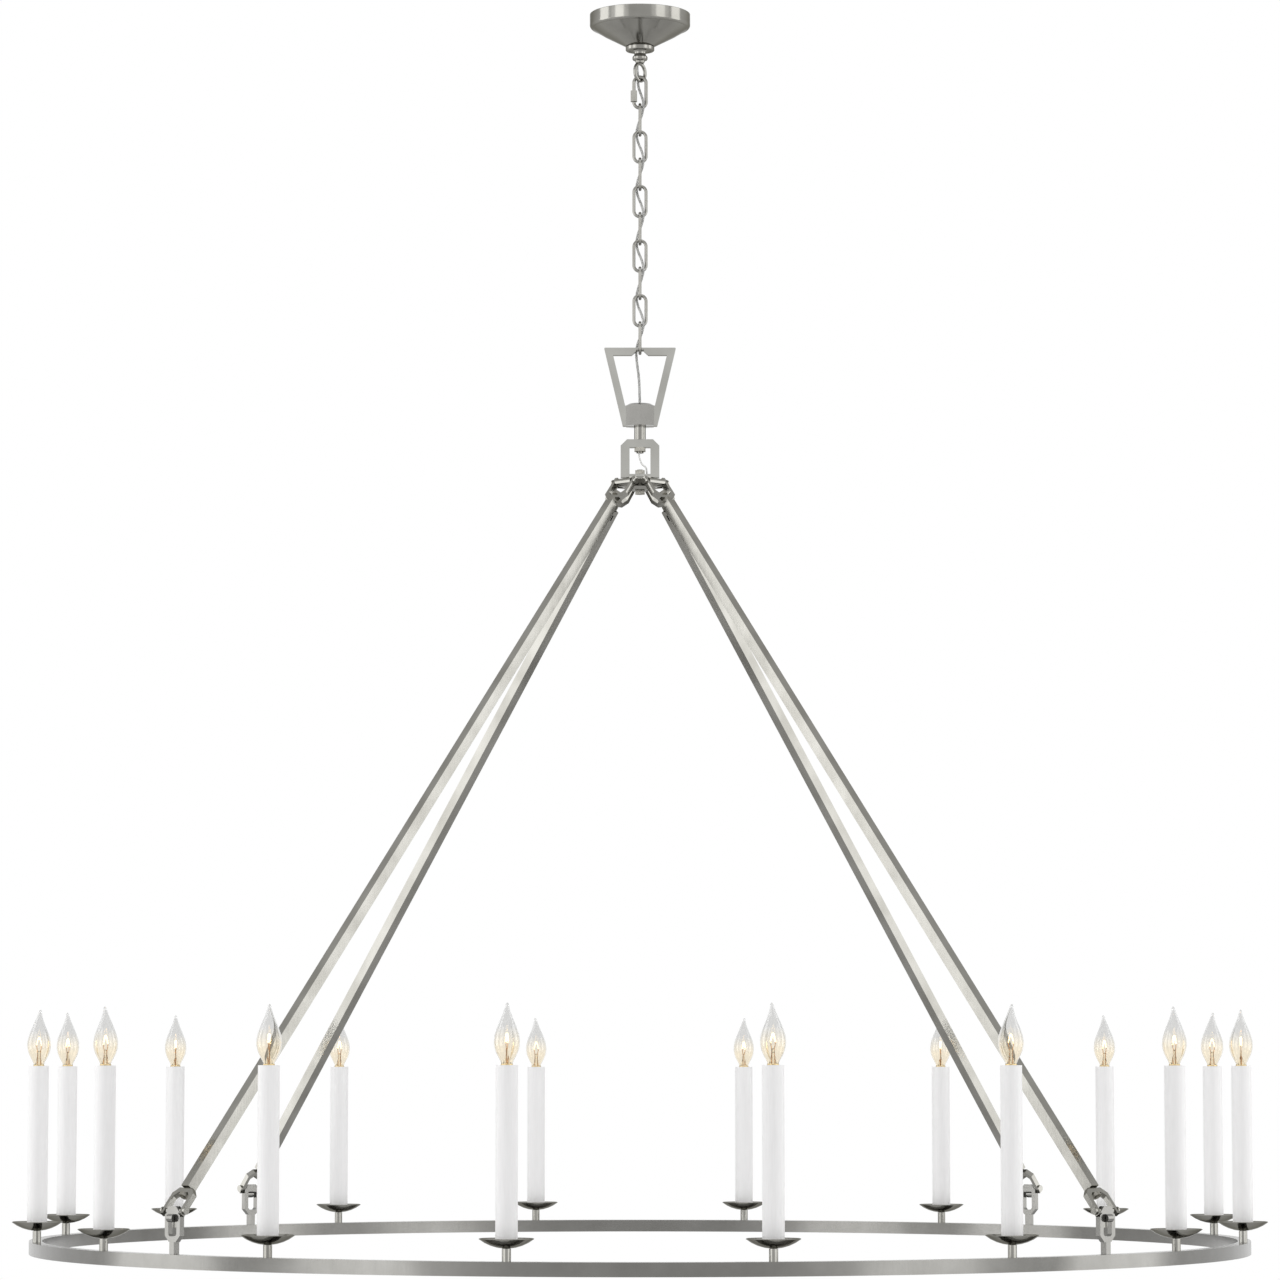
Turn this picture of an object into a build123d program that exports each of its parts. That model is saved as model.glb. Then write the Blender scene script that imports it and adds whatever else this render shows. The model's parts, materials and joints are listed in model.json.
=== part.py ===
from build123d import *
from math import atan, cos, degrees, hypot, pi, radians, sin, sqrt, tan
import os

# Ring chandelier, millimetres. Z is up, the origin is on the ceiling plane at the
# canopy's axis, and everything hangs below it. The photograph looks along +Y.

# Clearances and fits
RUN = 0.05            # radial play of a turning fit
SEAT = 0.25           # gap at a seat between two moving bodies
PLAY = 0.3            # side gap between a fork and what it straddles
OVER = 1.0            # how far a cutter runs past a face

# Canopy, bracket and collar
CANOPY_D = 127.5
CANOPY_WALL_H = 14.0
CANOPY_LIP_H = 17.5
CANOPY_SHOULDER_D = 90.4
CANOPY_SHOULDER_H = 26.4
CANOPY_CONE_END_D = 35.8
CANOPY_H = 40.7
CANOPY_SKIN = 1.2
CANOPY_TOP_GAP = 0.1
BRACKET_L = 104.0
BRACKET_W = 20.0
BRACKET_T = 2.4
BRACKET_CORNER = 5.0
BRACKET_SLOT_SPACING = 75.0
BRACKET_SLOT_L = 20.0
BRACKET_SLOT_W = 5.2
NIPPLE_D = 10.0
NIPPLE_BORE_D = 7.2
NIPPLE_TOP = -0.4
NIPPLE_BOTTOM = -35.5
LOCK_NUT_AF = 17.0
LOCK_NUT_T = 5.0
COLLAR_D = 36.4
COLLAR_H = 6.0
COLLAR_CHAMFER = 1.0
COVER_DROP_CLEAR = 0.4

# Canopy loop
LOOP_BODY_D = 27.0
LOOP_BODY_TOP = -35.0
LOOP_BODY_BOTTOM = -46.9
LOOP_BOSS_D = 18.0
LOOP_BOSS_TOP = -27.0
LOOP_CAVITY_D = 17.0
LOOP_CAVITY_TOP = -36.5
LOOP_CAVITY_BOTTOM = -45.5
LOOP_SHOULDER_D = 19.0
LOOP_SHOULDER_H = 2.0
LOOP_FLARE = 0.6
LOOP_NECK_D = 14.6
LOOP_NECK_Z = -51.0
LOOP_BEAD_D = 19.2
LOOP_BEAD_Z = -56.4
LOOP_BEAD_H = 5.2
LOOP_BEAD_CHAMFER = 0.8
LOOP_STEP = 1.0
LOOP_WIRE_D = 4.5
LOOP_ROOT_Z = -62.6
LOOP_ROOT_D = 12.6
LOOP_OUTER_D = 26.4
LOOP_BOTTOM_Z = -87.5
LOOP_TURN = 55.0
LOOP_WIRE_HOLE_D = 4.4

# Quick link and chain
QUICK_L = 44.0
QUICK_W = 19.7
QUICK_WIRE_D = 4.2
QUICK_GAP = 6.0
QUICK_GAP_OFFSET = -6.0
QUICK_NUT_AF = 8.2
QUICK_NUT_L = 14.0
QUICK_NUT_OFFSET = -4.8
LINK_COUNT = 9
LINK_L = 43.0
LINK_W = 19.3
LINK_WIRE_D = 3.9

# Supply cord
CORD_D = 3.3
CORNER_SHARE = 0.45     # part of a run that its arc may take up
CORD_TOP_Z = -8.0
CORD_SIDE = 4.35
CORD_HOLD = 7.0
CORD_LIFT = 2.0
CORD_BEND_H = 7.0
CORD_NECK_OUT = 1.05
CORD_BELOW_BEAD = 10.2
CORD_EYE_REACH = 5.6
CORD_BAR_GAP = 0.9
CORD_BAR_SIDE = 4.7
CORD_BAR_RUN = 3.0
CORD_SWAY_X = 1.4
CORD_SWAY_Y = 1.2
CORD_SWAY_DROP = 26.0
CORD_ENTRY_X = 0.5
CORD_ENTRY_RISE = 16.0
CORD_ENTRY_SINK = 4.0
CORD_END_Y = 0.1
CORD_END_RISE = 6.0

# Trapezoid hanger, hex coupling and stem
HANGER_TOP_W = 90.7
HANGER_BOTTOM_W = 43.5
HANGER_H = 99.7
HANGER_TOP_BAR = 9.5
HANGER_INNER_TOP_W = 67.8
HANGER_INNER_BOTTOM_W = 37.5
HANGER_BOTTOM_BAR = 26.0
HANGER_DEPTH = 9.5
HANGER_CORNER = 1.2
NOTCH_TOP_W = 10.0
NOTCH_W = 21.0
NOTCH_H = 5.0
HEX_AF = 35.0
HEX_RISE = 2.2
HEX_CHAMFER = 3.2
HEX_CHAMFER_H = 3.8
HEX_CORD_HOLE_D = 5.6
STEM_D = 14.6
STEM_L = 17.0
PIPE_D = 9.0
PIPE_BORE_D = 5.0
PIPE_UP = 20.0
PIPE_BELOW = 7.0
STEM_NUT_AF = 14.0
STEM_NUT_T = 5.0

# Stirrup and hub
STIRRUP_W = 48.7
STIRRUP_H = 48.2
STIRRUP_STRAP = 11.2
STIRRUP_TOP_T = 10.0
STIRRUP_DEPTH = 12.0
STIRRUP_SHOULDER = 8.0
CROSS_PLATE_T = 4.2
HUB_BOLT_D = 7.0
HUB_BOLT_HEAD_AF = 12.0
HUB_BOLT_HEAD_T = 5.0
HUB_BOLT_NUT_T = 5.0
THREAD_PROUD = 1.0
HUB_CORE_D = 34.0
HUB_CORE_H = 16.0
HUB_CORE_CHAMFER = 4.0
HUB_LUG_W = 26.5
HUB_LUG_T = 9.2
HUB_PIVOT_R = 27.0
HUB_PIVOT_DROP = 7.6
WIRE_HOLE_D = 3.4
WIRE_HOLE_R = 9.0

# Yokes, studs and pins
YOKE_BAR_T = 5.0
YOKE_BAR_N = 6.5
YOKE_TIP = 6.0
YOKE_LEN = 30.3
YOKE_CROSS = 6.4
YOKE_CORNER = 7.5
CLIP_HALF_TURN = 22.5    # half of the turn at a clipped corner, degrees
PIN_D = 5.0
PIN_HEAD_D = 8.4
PIN_HEAD_T = 2.2
STUD_D = 6.0
STUD_NUT_AF = 10.0
STUD_NUT_T = 4.5
STUD_IN_TUBE = 26.0
PLUG_T = 8.0
PLUG_DEPTH = 14.0

# Rods
ROD_COUNT = 4
ROD_START_ANGLE = 45.0
ROD_SIDE = 12.7
ROD_WALL = 1.4
ROD_UPPER_GAP = 6.2
ROD_LOWER_GAP = 1.0
ROD_SLOT_L = 8.0
ROD_SLOT_W = 2.2
ROD_SLOT_FROM_END = 9.0

# Ring and ring loops
RING_R = 744.5
RING_SIDE = 15.9
RING_WALL = 2.0
RING_TOP_Z = -1544.0
RING_WIRE_HOLE_D = 3.0
RLOOP_POST = 8.0
RLOOP_POST_H = 14.0
RLOOP_W = 26.5
RLOOP_TOP_H = 54.4
RLOOP_BAR = 6.0
RLOOP_BOTTOM_BAR = 6.5
RLOOP_TOP_BAR = 9.7
RLOOP_DEPTH = 6.4
RLOOP_CORNER = 7.3
RLOOP_WINDOW_LOW_CORNER = 2.4
RLOOP_WINDOW_TOP_CORNER = 0.8
RLOOP_PIVOT_H = 49.3
BOSS_D = 9.2
BOSS_L = 10.0
BOSS_H = 41.0
BOSS_OUT = 4.0

# Candles
CANDLE_COUNT = 16
CANDLE_START_ANGLE = 11.25
STEM_ROD_D = 10.0
STEM_ROD_H = 14.0
STEM_BORE_D = 3.6
STEM_SPIGOT_D = 8.0
STEM_SPIGOT_L = 5.0
STEM_NIPPLE_D = 6.4
STEM_NIPPLE_L = 16.0
PAN_D = 61.0
PAN_DEPTH = 10.5
PAN_SKIN = 1.2
PAN_RIM_LAND = 0.96
SLEEVE_D = 24.5
SLEEVE_SKIN = 1.6
SLEEVE_TOP_H = 213.0
SLEEVE_LIFT = 0.2
SOCKET_D = 19.4
SOCKET_L = 62.0
SOCKET_RECESS = 1.0
SOCKET_FOOT_D = 13.0
SOCKET_FOOT_T = 3.0
SOCKET_STRUT_D = 9.0
SOCKET_NIPPLE_ROOM = 4.0
SOCKET_WIRE_BORE_H = 20.0
LAMP_CAP_D = 11.9
LAMP_CAP_L = 16.0
LAMP_CAP_FLANGE_D = 13.4
LAMP_CAP_FLANGE_T = 1.4
LAMP_SEAT = 0.3
LAMP_D = 28.7
LAMP_WIDEST_H = 25.5
LAMP_TIP_H = 68.0
LAMP_NECK_D = 12.6
LAMP_GLASS = 0.8
LAMP_TIP_GLASS = 2.0
LAMP_LOW_W = 0.80
LAMP_LOW_AT = 0.48
LAMP_HIGH_W = 0.62
LAMP_HIGH_AT = 0.52
LAMP_FOOT_LEAN = (0.25, 1)
LAMP_TIP_LEAN = (-0.55, 1)
LAMP_STEM_D = 5.0
LAMP_STEM_H = 20.0
FILAMENT_D = 3.0
FILAMENT_L = 16.0

# Lead wires
LEAD_D = 2.0
LEAD_START_X = -1.2
LEAD_START_RISE = 4.0
LEAD_BEND_DROP = 5.0
LEAD_BELLY_X = 2.6
LEAD_BELLY_Y = -2.2
LEAD_BELLY_DROP = 15.0
LEAD_END_RISE = 9.0
LEAD_END_SINK = 2.0
RING_WIRE_D = 4.0

STANDING = (Align.CENTER, Align.CENTER, Align.MIN)
HANGING = (Align.CENTER, Align.CENTER, Align.MAX)

os.makedirs("parts", exist_ok=True)


def spread_angles(count, first):
    """Angles of an even round pattern."""
    return [first + number * 360 / count for number in range(count)]


def tube_body(outer_d, inner_d, z_low, z_high):
    """Round tube on the Z axis between two heights."""
    height = z_high - z_low
    body = Pos(0, 0, z_low) * Cylinder(outer_d / 2, height, align=STANDING)
    if inner_d > 0:
        body -= bore_body(inner_d, z_low - OVER, z_high + OVER)
    return body


def bore_body(diameter, z_low, z_high):
    """Round cutter on the Z axis between two heights."""
    return Pos(0, 0, z_low) * Cylinder(diameter / 2, z_high - z_low, align=STANDING)


def hex_body(across_flats, bore_d, z_low, z_high):
    """Hexagon nut on the Z axis with corners towards +Y and -Y."""
    corner_r = across_flats / 2 / cos(radians(30))
    outline = RegularPolygon(corner_r, 6, rotation=30)
    body = Pos(0, 0, z_low) * extrude(outline, z_high - z_low)
    if bore_d > 0:
        body -= bore_body(bore_d, z_low - OVER, z_high + OVER)
    return body


def turned(points):
    """Solid of revolution about Z from (radius, height) points."""
    outline = make_face(Plane.XZ * Polyline(*points, close=True))
    return revolve(outline, Axis.Z)


def slab(points, plane, depth):
    """Flat bar work: a closed outline in a plane, spread evenly to both sides."""
    outline = make_face(plane * Polyline(*points, close=True))
    return extrude(outline, depth / 2, both=True)


def octagon(width, low, high, low_corner, high_corner):
    """Outline of a rectangle with clipped corners, about x = 0."""
    half = width / 2
    return [
        (-half + low_corner, low),
        (half - low_corner, low),
        (half, low + low_corner),
        (half, high - high_corner),
        (half - high_corner, high),
        (-half + high_corner, high),
        (-half, high - high_corner),
        (-half, low + low_corner),
    ]


def clipped_low(width, low, high, corner):
    """Outline of a rectangle with its two low corners clipped, about x = 0."""
    half = width / 2
    return [
        (-half + corner, low),
        (half - corner, low),
        (half, low + corner),
        (half, high),
        (-half, high),
        (-half, low + corner),
    ]


def oval_link(length, width, wire_d, centre_z, gap=None):
    """Welded oval link in the XZ plane, about (0, 0, centre_z)."""
    leg_x = (width - wire_d) / 2
    half_leg = (length - width) / 2
    wire = Pos(leg_x, 0, half_leg) * Circle(wire_d / 2)
    crown_axis = Axis((0, 0, half_leg), (0, -1, 0))
    crown = revolve(wire, crown_axis, 180)
    body = crown + Rot(180, 0, 0) * crown
    for side in (-1, 1):
        body += Pos(side * leg_x, 0, 0) * Cylinder(wire_d / 2, 2 * half_leg)
    if gap:
        gap_l, gap_z = gap
        body -= Pos(-leg_x, 0, gap_z) * Box(2 * wire_d, 2 * wire_d, gap_l)
    return Pos(0, 0, centre_z) * body


# Ceiling bracket, nipple, lock nut

def make_bracket():
    """Flat strap against the ceiling box with two slots and a centre hole."""
    plate = Box(BRACKET_L, BRACKET_W, BRACKET_T, align=HANGING)
    plate = fillet(plate.edges().filter_by(Axis.Z), BRACKET_CORNER)
    plate -= bore_body(NIPPLE_D, -BRACKET_T - OVER, OVER)
    slot = extrude(SlotOverall(BRACKET_SLOT_L, BRACKET_SLOT_W), BRACKET_T + 2 * OVER)
    for side in (-1, 1):
        plate -= Pos(side * BRACKET_SLOT_SPACING / 2, 0, -BRACKET_T - OVER) * slot
    return plate


def make_nipple():
    """Hollow threaded nipple that carries the canopy loop."""
    return tube_body(NIPPLE_D, NIPPLE_BORE_D, NIPPLE_BOTTOM, NIPPLE_TOP)


def make_lock_nut():
    """Nut that locks the nipple under the bracket."""
    return hex_body(LOCK_NUT_AF, NIPPLE_D, -BRACKET_T - LOCK_NUT_T, -BRACKET_T)


# Canopy and collar

def make_canopy():
    """Spun cover: upright wall, rolled lip, shallow flare and a cone to the collar."""
    half_skin = CANOPY_SKIN / 2
    hole_r = LOOP_BODY_D / 2 + COVER_DROP_CLEAR + half_skin
    rim_r = CANOPY_D / 2 - half_skin
    lip = CANOPY_LIP_H - CANOPY_WALL_H
    profile = Polyline(
        (rim_r, -half_skin - CANOPY_TOP_GAP),
        (rim_r, -CANOPY_WALL_H),
    )
    profile += RadiusArc((rim_r, -CANOPY_WALL_H), (rim_r - lip, -CANOPY_LIP_H), lip)
    profile += Polyline(
        (rim_r - lip, -CANOPY_LIP_H),
        (CANOPY_SHOULDER_D / 2, -CANOPY_SHOULDER_H),
        (CANOPY_CONE_END_D / 2, -CANOPY_H),
        (hole_r, -CANOPY_H),
    )
    skin = offset(profile, half_skin, side=Side.BOTH)
    return revolve(Plane.XZ * make_face(skin), Axis.Z)


def make_collar():
    """Threaded ring that holds the canopy up on the loop's body."""
    top = -CANOPY_H - CANOPY_SKIN / 2
    ring = tube_body(COLLAR_D, LOOP_BODY_D + 2 * RUN, top - COLLAR_H, top)
    outer = ring.edges().filter_by(GeomType.CIRCLE).group_by(SortBy.RADIUS)[-1]
    return chamfer(outer, COLLAR_CHAMFER)


# Canopy loop

def make_canopy_loop():
    """Turned loop: threaded boss and body, waisted neck, bead and a round eye."""
    bead_half = LOOP_BEAD_H / 2
    body = tube_body(LOOP_BOSS_D, NIPPLE_D, LOOP_BODY_TOP, LOOP_BOSS_TOP)
    body += tube_body(LOOP_BODY_D, 0, LOOP_BODY_BOTTOM, LOOP_BODY_TOP)
    body += turned([
        (0, LOOP_BODY_BOTTOM),
        (LOOP_SHOULDER_D / 2, LOOP_BODY_BOTTOM),
        (LOOP_NECK_D / 2 + LOOP_FLARE, LOOP_BODY_BOTTOM - LOOP_SHOULDER_H),
        (LOOP_NECK_D / 2, LOOP_NECK_Z),
        (LOOP_NECK_D / 2 + LOOP_FLARE, LOOP_BEAD_Z + bead_half),
        (LOOP_BEAD_D / 2 - LOOP_BEAD_CHAMFER, LOOP_BEAD_Z + bead_half),
        (LOOP_BEAD_D / 2, LOOP_BEAD_Z + bead_half / 2),
        (LOOP_BEAD_D / 2, LOOP_BEAD_Z - bead_half / 2),
        (LOOP_BEAD_D / 2 - LOOP_BEAD_CHAMFER, LOOP_BEAD_Z - bead_half),
        (LOOP_ROOT_D / 2, LOOP_BEAD_Z - bead_half - LOOP_STEP),
        (LOOP_ROOT_D / 2 - LOOP_STEP, LOOP_ROOT_Z),
        (0, LOOP_ROOT_Z),
    ])
    body -= bore_body(NIPPLE_D, LOOP_CAVITY_TOP, LOOP_BOSS_TOP + OVER)
    body -= bore_body(LOOP_CAVITY_D, LOOP_CAVITY_BOTTOM, LOOP_CAVITY_TOP)
    eye_r = (LOOP_OUTER_D - LOOP_WIRE_D) / 2
    eye_z = LOOP_BOTTOM_Z + LOOP_OUTER_D / 2
    eye = Pos(0, 0, eye_z) * Rot(90, 0, 0) * Torus(eye_r, LOOP_WIRE_D / 2)
    body += Rot(0, 0, LOOP_TURN) * eye
    hole_x, hole_y = cord_side_hole()
    side_hole = bore_body(LOOP_WIRE_HOLE_D, LOOP_ROOT_Z - 2 * OVER, LOOP_CAVITY_BOTTOM + OVER)
    return body - Pos(hole_x, hole_y, 0) * side_hole


def cord_side_hole():
    """Where the cord leaves the loop's neck, beside the eye's plane."""
    reach = (LOOP_WIRE_D + LOOP_WIRE_HOLE_D) / 2
    turn = radians(LOOP_TURN)
    return (-reach * sin(turn), reach * cos(turn))


# Chain heights, worked down from the loop's eye

EYE_WIRE_Z = LOOP_BOTTOM_Z + LOOP_WIRE_D / 2
QUICK_TOP_WIRE_Z = EYE_WIRE_Z + (LOOP_WIRE_D + QUICK_WIRE_D) / 2 + SEAT
QUICK_CENTRE_Z = QUICK_TOP_WIRE_Z - (QUICK_L - QUICK_WIRE_D) / 2
QUICK_LOW_WIRE_Z = QUICK_TOP_WIRE_Z - (QUICK_L - QUICK_WIRE_D)
LINK_PITCH = LINK_L - 2 * LINK_WIRE_D - SEAT
FIRST_TOP_WIRE_Z = QUICK_LOW_WIRE_Z + (QUICK_WIRE_D + LINK_WIRE_D) / 2 + SEAT


def low_wire_z(number):
    """Height of the lower crown wire's centre of a chain link, counted from 1."""
    return FIRST_TOP_WIRE_Z - (number - 1) * LINK_PITCH - (LINK_L - LINK_WIRE_D)


PIVOT_Z = [EYE_WIRE_Z, QUICK_LOW_WIRE_Z] + [low_wire_z(number) for number in range(1, LINK_COUNT)]
LAST_WIRE_Z = low_wire_z(LINK_COUNT)
NOTCH_Z = LAST_WIRE_Z + LINK_WIRE_D / 2 + SEAT


def make_quick_link():
    """Oval link with an open gap on its left leg."""
    gap = (QUICK_GAP, QUICK_GAP_OFFSET)
    return oval_link(QUICK_L, QUICK_W, QUICK_WIRE_D, QUICK_CENTRE_Z, gap)


def make_quick_nut():
    """Long hexagon nut that closes the quick link's gap."""
    leg_x = (QUICK_W - QUICK_WIRE_D) / 2
    nut = hex_body(QUICK_NUT_AF, QUICK_WIRE_D + 2 * RUN, -QUICK_NUT_L / 2, QUICK_NUT_L / 2)
    return Pos(-leg_x, 0, QUICK_CENTRE_Z + QUICK_NUT_OFFSET) * nut


def make_chain_link(number):
    """Chain link, counted from 1 at the top; odd links stand edge-on to the front."""
    centre = low_wire_z(number) + (LINK_L - LINK_WIRE_D) / 2
    link = oval_link(LINK_L, LINK_W, LINK_WIRE_D, centre)
    if number % 2:
        link = Rot(0, 0, 90) * link
    return link


# Hanger, coupling and stem

HANGER_TOP_Z = NOTCH_Z + HANGER_TOP_BAR - NOTCH_H
HANGER_LOW_Z = HANGER_TOP_Z - HANGER_H
HANGER_BAR_TOP_Z = HANGER_LOW_Z + HANGER_BOTTOM_BAR


def make_hanger():
    """Trapezoid frame with a notch and a round saddle for the last chain link."""
    outer = [
        (-HANGER_BOTTOM_W / 2, HANGER_LOW_Z),
        (HANGER_BOTTOM_W / 2, HANGER_LOW_Z),
        (HANGER_TOP_W / 2, HANGER_TOP_Z),
        (-HANGER_TOP_W / 2, HANGER_TOP_Z),
    ]
    under = HANGER_TOP_Z - HANGER_TOP_BAR
    inner = [
        (-HANGER_INNER_BOTTOM_W / 2, HANGER_BAR_TOP_Z),
        (HANGER_INNER_BOTTOM_W / 2, HANGER_BAR_TOP_Z),
        (HANGER_INNER_TOP_W / 2, under),
        (NOTCH_W / 2, under),
        (NOTCH_TOP_W / 2, under + NOTCH_H),
        (-NOTCH_TOP_W / 2, under + NOTCH_H),
        (-NOTCH_W / 2, under),
        (-HANGER_INNER_TOP_W / 2, under),
    ]
    frame = slab(outer, Plane.XZ, HANGER_DEPTH)
    outer_rim = frame.edges().filter_by(Axis.Y)
    frame = fillet(outer_rim, HANGER_CORNER)
    frame -= slab(inner, Plane.XZ, HANGER_DEPTH + 2 * OVER)
    saddle_r = LINK_W / 2 - LINK_WIRE_D - SEAT
    saddle_z = LAST_WIRE_Z + (LINK_W - LINK_WIRE_D) / 2
    room = Box(NOTCH_TOP_W, HANGER_DEPTH + 2 * OVER, saddle_z - under, align=STANDING)
    saddle = Pos(0, 0, saddle_z) * Rot(0, 90, 0) * Cylinder(saddle_r, NOTCH_TOP_W + 2 * OVER)
    frame -= Pos(0, 0, under) * room - saddle
    frame -= bore_body(PIPE_D, HANGER_LOW_Z - OVER, HANGER_LOW_Z + PIPE_UP)
    frame -= bore_body(HEX_CORD_HOLE_D, HANGER_LOW_Z, HANGER_BAR_TOP_Z + OVER)
    return frame


def make_hex_coupling():
    """Hexagon coupling that clasps the hanger's bottom bar, with a coned top."""
    top = HANGER_BAR_TOP_Z + HEX_RISE
    body = hex_body(HEX_AF, HEX_CORD_HOLE_D, HANGER_LOW_Z, top)
    corner_r = HEX_AF / 2 / cos(radians(30))
    cone = turned([
        (0, HANGER_LOW_Z - OVER),
        (corner_r + OVER, HANGER_LOW_Z - OVER),
        (corner_r + OVER, top - HEX_CHAMFER_H),
        (HEX_AF / 2 - HEX_CHAMFER, top),
        (0, top),
    ])
    body = body & cone
    bar_height = HANGER_BAR_TOP_Z - HANGER_LOW_Z
    slot = Box(2 * HEX_AF, HANGER_DEPTH, 2 * bar_height)
    body -= Pos(0, 0, HANGER_LOW_Z) * slot
    return body


STEM_TOP_Z = HANGER_LOW_Z
STEM_LOW_Z = STEM_TOP_Z - STEM_L
STIRRUP_LOW_Z = STEM_LOW_Z - STIRRUP_H
HUB_PIVOT_Z = STIRRUP_LOW_Z - HUB_PIVOT_DROP


def make_stem_tube():
    """Short tube between the coupling and the stirrup."""
    return tube_body(STEM_D, PIPE_D, STEM_LOW_Z, STEM_TOP_Z)


def make_stem_pipe():
    """Threaded pipe from the hanger's bar through the stem into the stirrup."""
    low = STEM_LOW_Z - STIRRUP_TOP_T - PIPE_BELOW
    return tube_body(PIPE_D, PIPE_BORE_D, low, HANGER_LOW_Z + PIPE_UP)


def make_stem_nut():
    """Nut on the pipe, under the stirrup's top."""
    high = STEM_LOW_Z - STIRRUP_TOP_T
    return hex_body(STEM_NUT_AF, PIPE_D, high - STEM_NUT_T, high)


def make_stirrup():
    """Stirrup with clipped shoulders and a cross plate between its straps."""
    half = STIRRUP_W / 2
    inner = half - STIRRUP_STRAP
    outer_line = [
        (-half, STIRRUP_LOW_Z),
        (half, STIRRUP_LOW_Z),
        (half, STEM_LOW_Z - STIRRUP_SHOULDER),
        (half - STIRRUP_SHOULDER, STEM_LOW_Z),
        (-half + STIRRUP_SHOULDER, STEM_LOW_Z),
        (-half, STEM_LOW_Z - STIRRUP_SHOULDER),
    ]
    body = slab(outer_line, Plane.XZ, STIRRUP_DEPTH)
    window_top = STEM_LOW_Z - STIRRUP_TOP_T
    window_low = STIRRUP_LOW_Z + CROSS_PLATE_T
    window = Box(2 * inner, STIRRUP_DEPTH + 2 * OVER, window_top - window_low)
    body -= Pos(0, 0, (window_top + window_low) / 2) * window
    body -= bore_body(PIPE_D, window_top - OVER, STEM_LOW_Z + OVER)
    body -= bore_body(HUB_BOLT_D, STIRRUP_LOW_Z - OVER, window_low + OVER)
    wire_hole = bore_body(WIRE_HOLE_D, STIRRUP_LOW_Z - OVER, window_low + OVER)
    return body - Pos(WIRE_HOLE_R, 0, 0) * wire_hole


# Hub

def rod_angles():
    """Directions of the four rods."""
    return spread_angles(ROD_COUNT, ROD_START_ANGLE)


def make_hub_block():
    """Round core with one lug for each rod, cross-drilled for the hinge pins."""
    core = tube_body(HUB_CORE_D, HUB_BOLT_D, STIRRUP_LOW_Z - HUB_CORE_H, STIRRUP_LOW_Z)
    low_rim = core.edges().filter_by(GeomType.CIRCLE).group_by(Axis.Z)[0].group_by(SortBy.RADIUS)[-1]
    core = chamfer(low_rim, HUB_CORE_CHAMFER)
    for angle in rod_angles():
        bar = Box(HUB_PIVOT_R, HUB_LUG_W, HUB_LUG_T, align=(Align.MIN, Align.CENTER, Align.CENTER))
        nose = Pos(HUB_PIVOT_R, 0, 0) * Rot(90, 0, 0) * Cylinder(HUB_LUG_T / 2, HUB_LUG_W)
        drill = Pos(HUB_PIVOT_R, 0, 0) * Rot(90, 0, 0) * Cylinder(PIN_D / 2, HUB_LUG_W + 2 * OVER)
        lug = Rot(0, 0, angle) * Pos(0, 0, HUB_PIVOT_Z) * (bar + nose - drill)
        core += lug
    core_low = STIRRUP_LOW_Z - HUB_CORE_H
    core -= bore_body(HUB_BOLT_D, core_low - OVER, STIRRUP_LOW_Z + OVER)
    wire_hole = bore_body(WIRE_HOLE_D, core_low - OVER, STIRRUP_LOW_Z + OVER)
    return core - Pos(WIRE_HOLE_R, 0, 0) * wire_hole


def make_hub_bolt():
    """Bolt and nut that clamp the hub block to the cross plate."""
    plate_top = STIRRUP_LOW_Z + CROSS_PLATE_T
    core_low = STIRRUP_LOW_Z - HUB_CORE_H
    head = hex_body(HUB_BOLT_HEAD_AF, 0, core_low - HUB_BOLT_HEAD_T, core_low)
    shank = tube_body(HUB_BOLT_D, 0, core_low, plate_top + HUB_BOLT_NUT_T + THREAD_PROUD)
    nut = hex_body(HUB_BOLT_HEAD_AF, HUB_BOLT_D, plate_top, plate_top + HUB_BOLT_NUT_T)
    return [head + shank, nut]


# Rod line: from the hub pivot out and down to the ring pivot

RING_PIVOT_Z = RING_TOP_Z + RLOOP_PIVOT_H
ROD_RUN = RING_R - HUB_PIVOT_R
ROD_FALL = HUB_PIVOT_Z - RING_PIVOT_Z
ROD_TILT = degrees(atan(ROD_RUN / ROD_FALL))
PIVOT_DISTANCE = hypot(ROD_RUN, ROD_FALL)


def rod_frame(angle):
    """Frame at a hub pivot: Z runs up the rod, X is its upper side, Y its width."""
    return Rot(0, 0, angle) * Pos(HUB_PIVOT_R, 0, HUB_PIVOT_Z) * Rot(0, -ROD_TILT, 0)


def ring_end(angle):
    """The same frame at the ring pivot, turned end for end."""
    return rod_frame(angle) * Pos(0, 0, -PIVOT_DISTANCE) * Rot(180, 0, 0)


def yoke_inner_width():
    """Gap between a yoke's arms, set by the wider of the two things it straddles."""
    return max(HUB_LUG_W, RLOOP_W) + 2 * PLAY


def make_yoke():
    """Clevis with clipped corners; its pivot is at the origin, its crossbar below."""
    inner = yoke_inner_width()
    outer = inner + 2 * YOKE_BAR_T
    outline = clipped_low(outer, -YOKE_LEN, YOKE_TIP, YOKE_CORNER)
    body = slab(outline, Plane.YZ, YOKE_BAR_N)
    inner_corner = YOKE_CORNER - YOKE_BAR_T * tan(radians(CLIP_HALF_TURN))
    window = clipped_low(inner, -YOKE_LEN + YOKE_CROSS, YOKE_TIP + OVER, inner_corner)
    body -= slab(window, Plane.YZ, YOKE_BAR_N + 2 * OVER)
    body -= Rot(90, 0, 0) * Cylinder(PIN_D / 2, outer + 2 * OVER)
    body -= bore_body(STUD_D, -YOKE_LEN - OVER, -YOKE_LEN + YOKE_CROSS + OVER)
    return body


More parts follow.
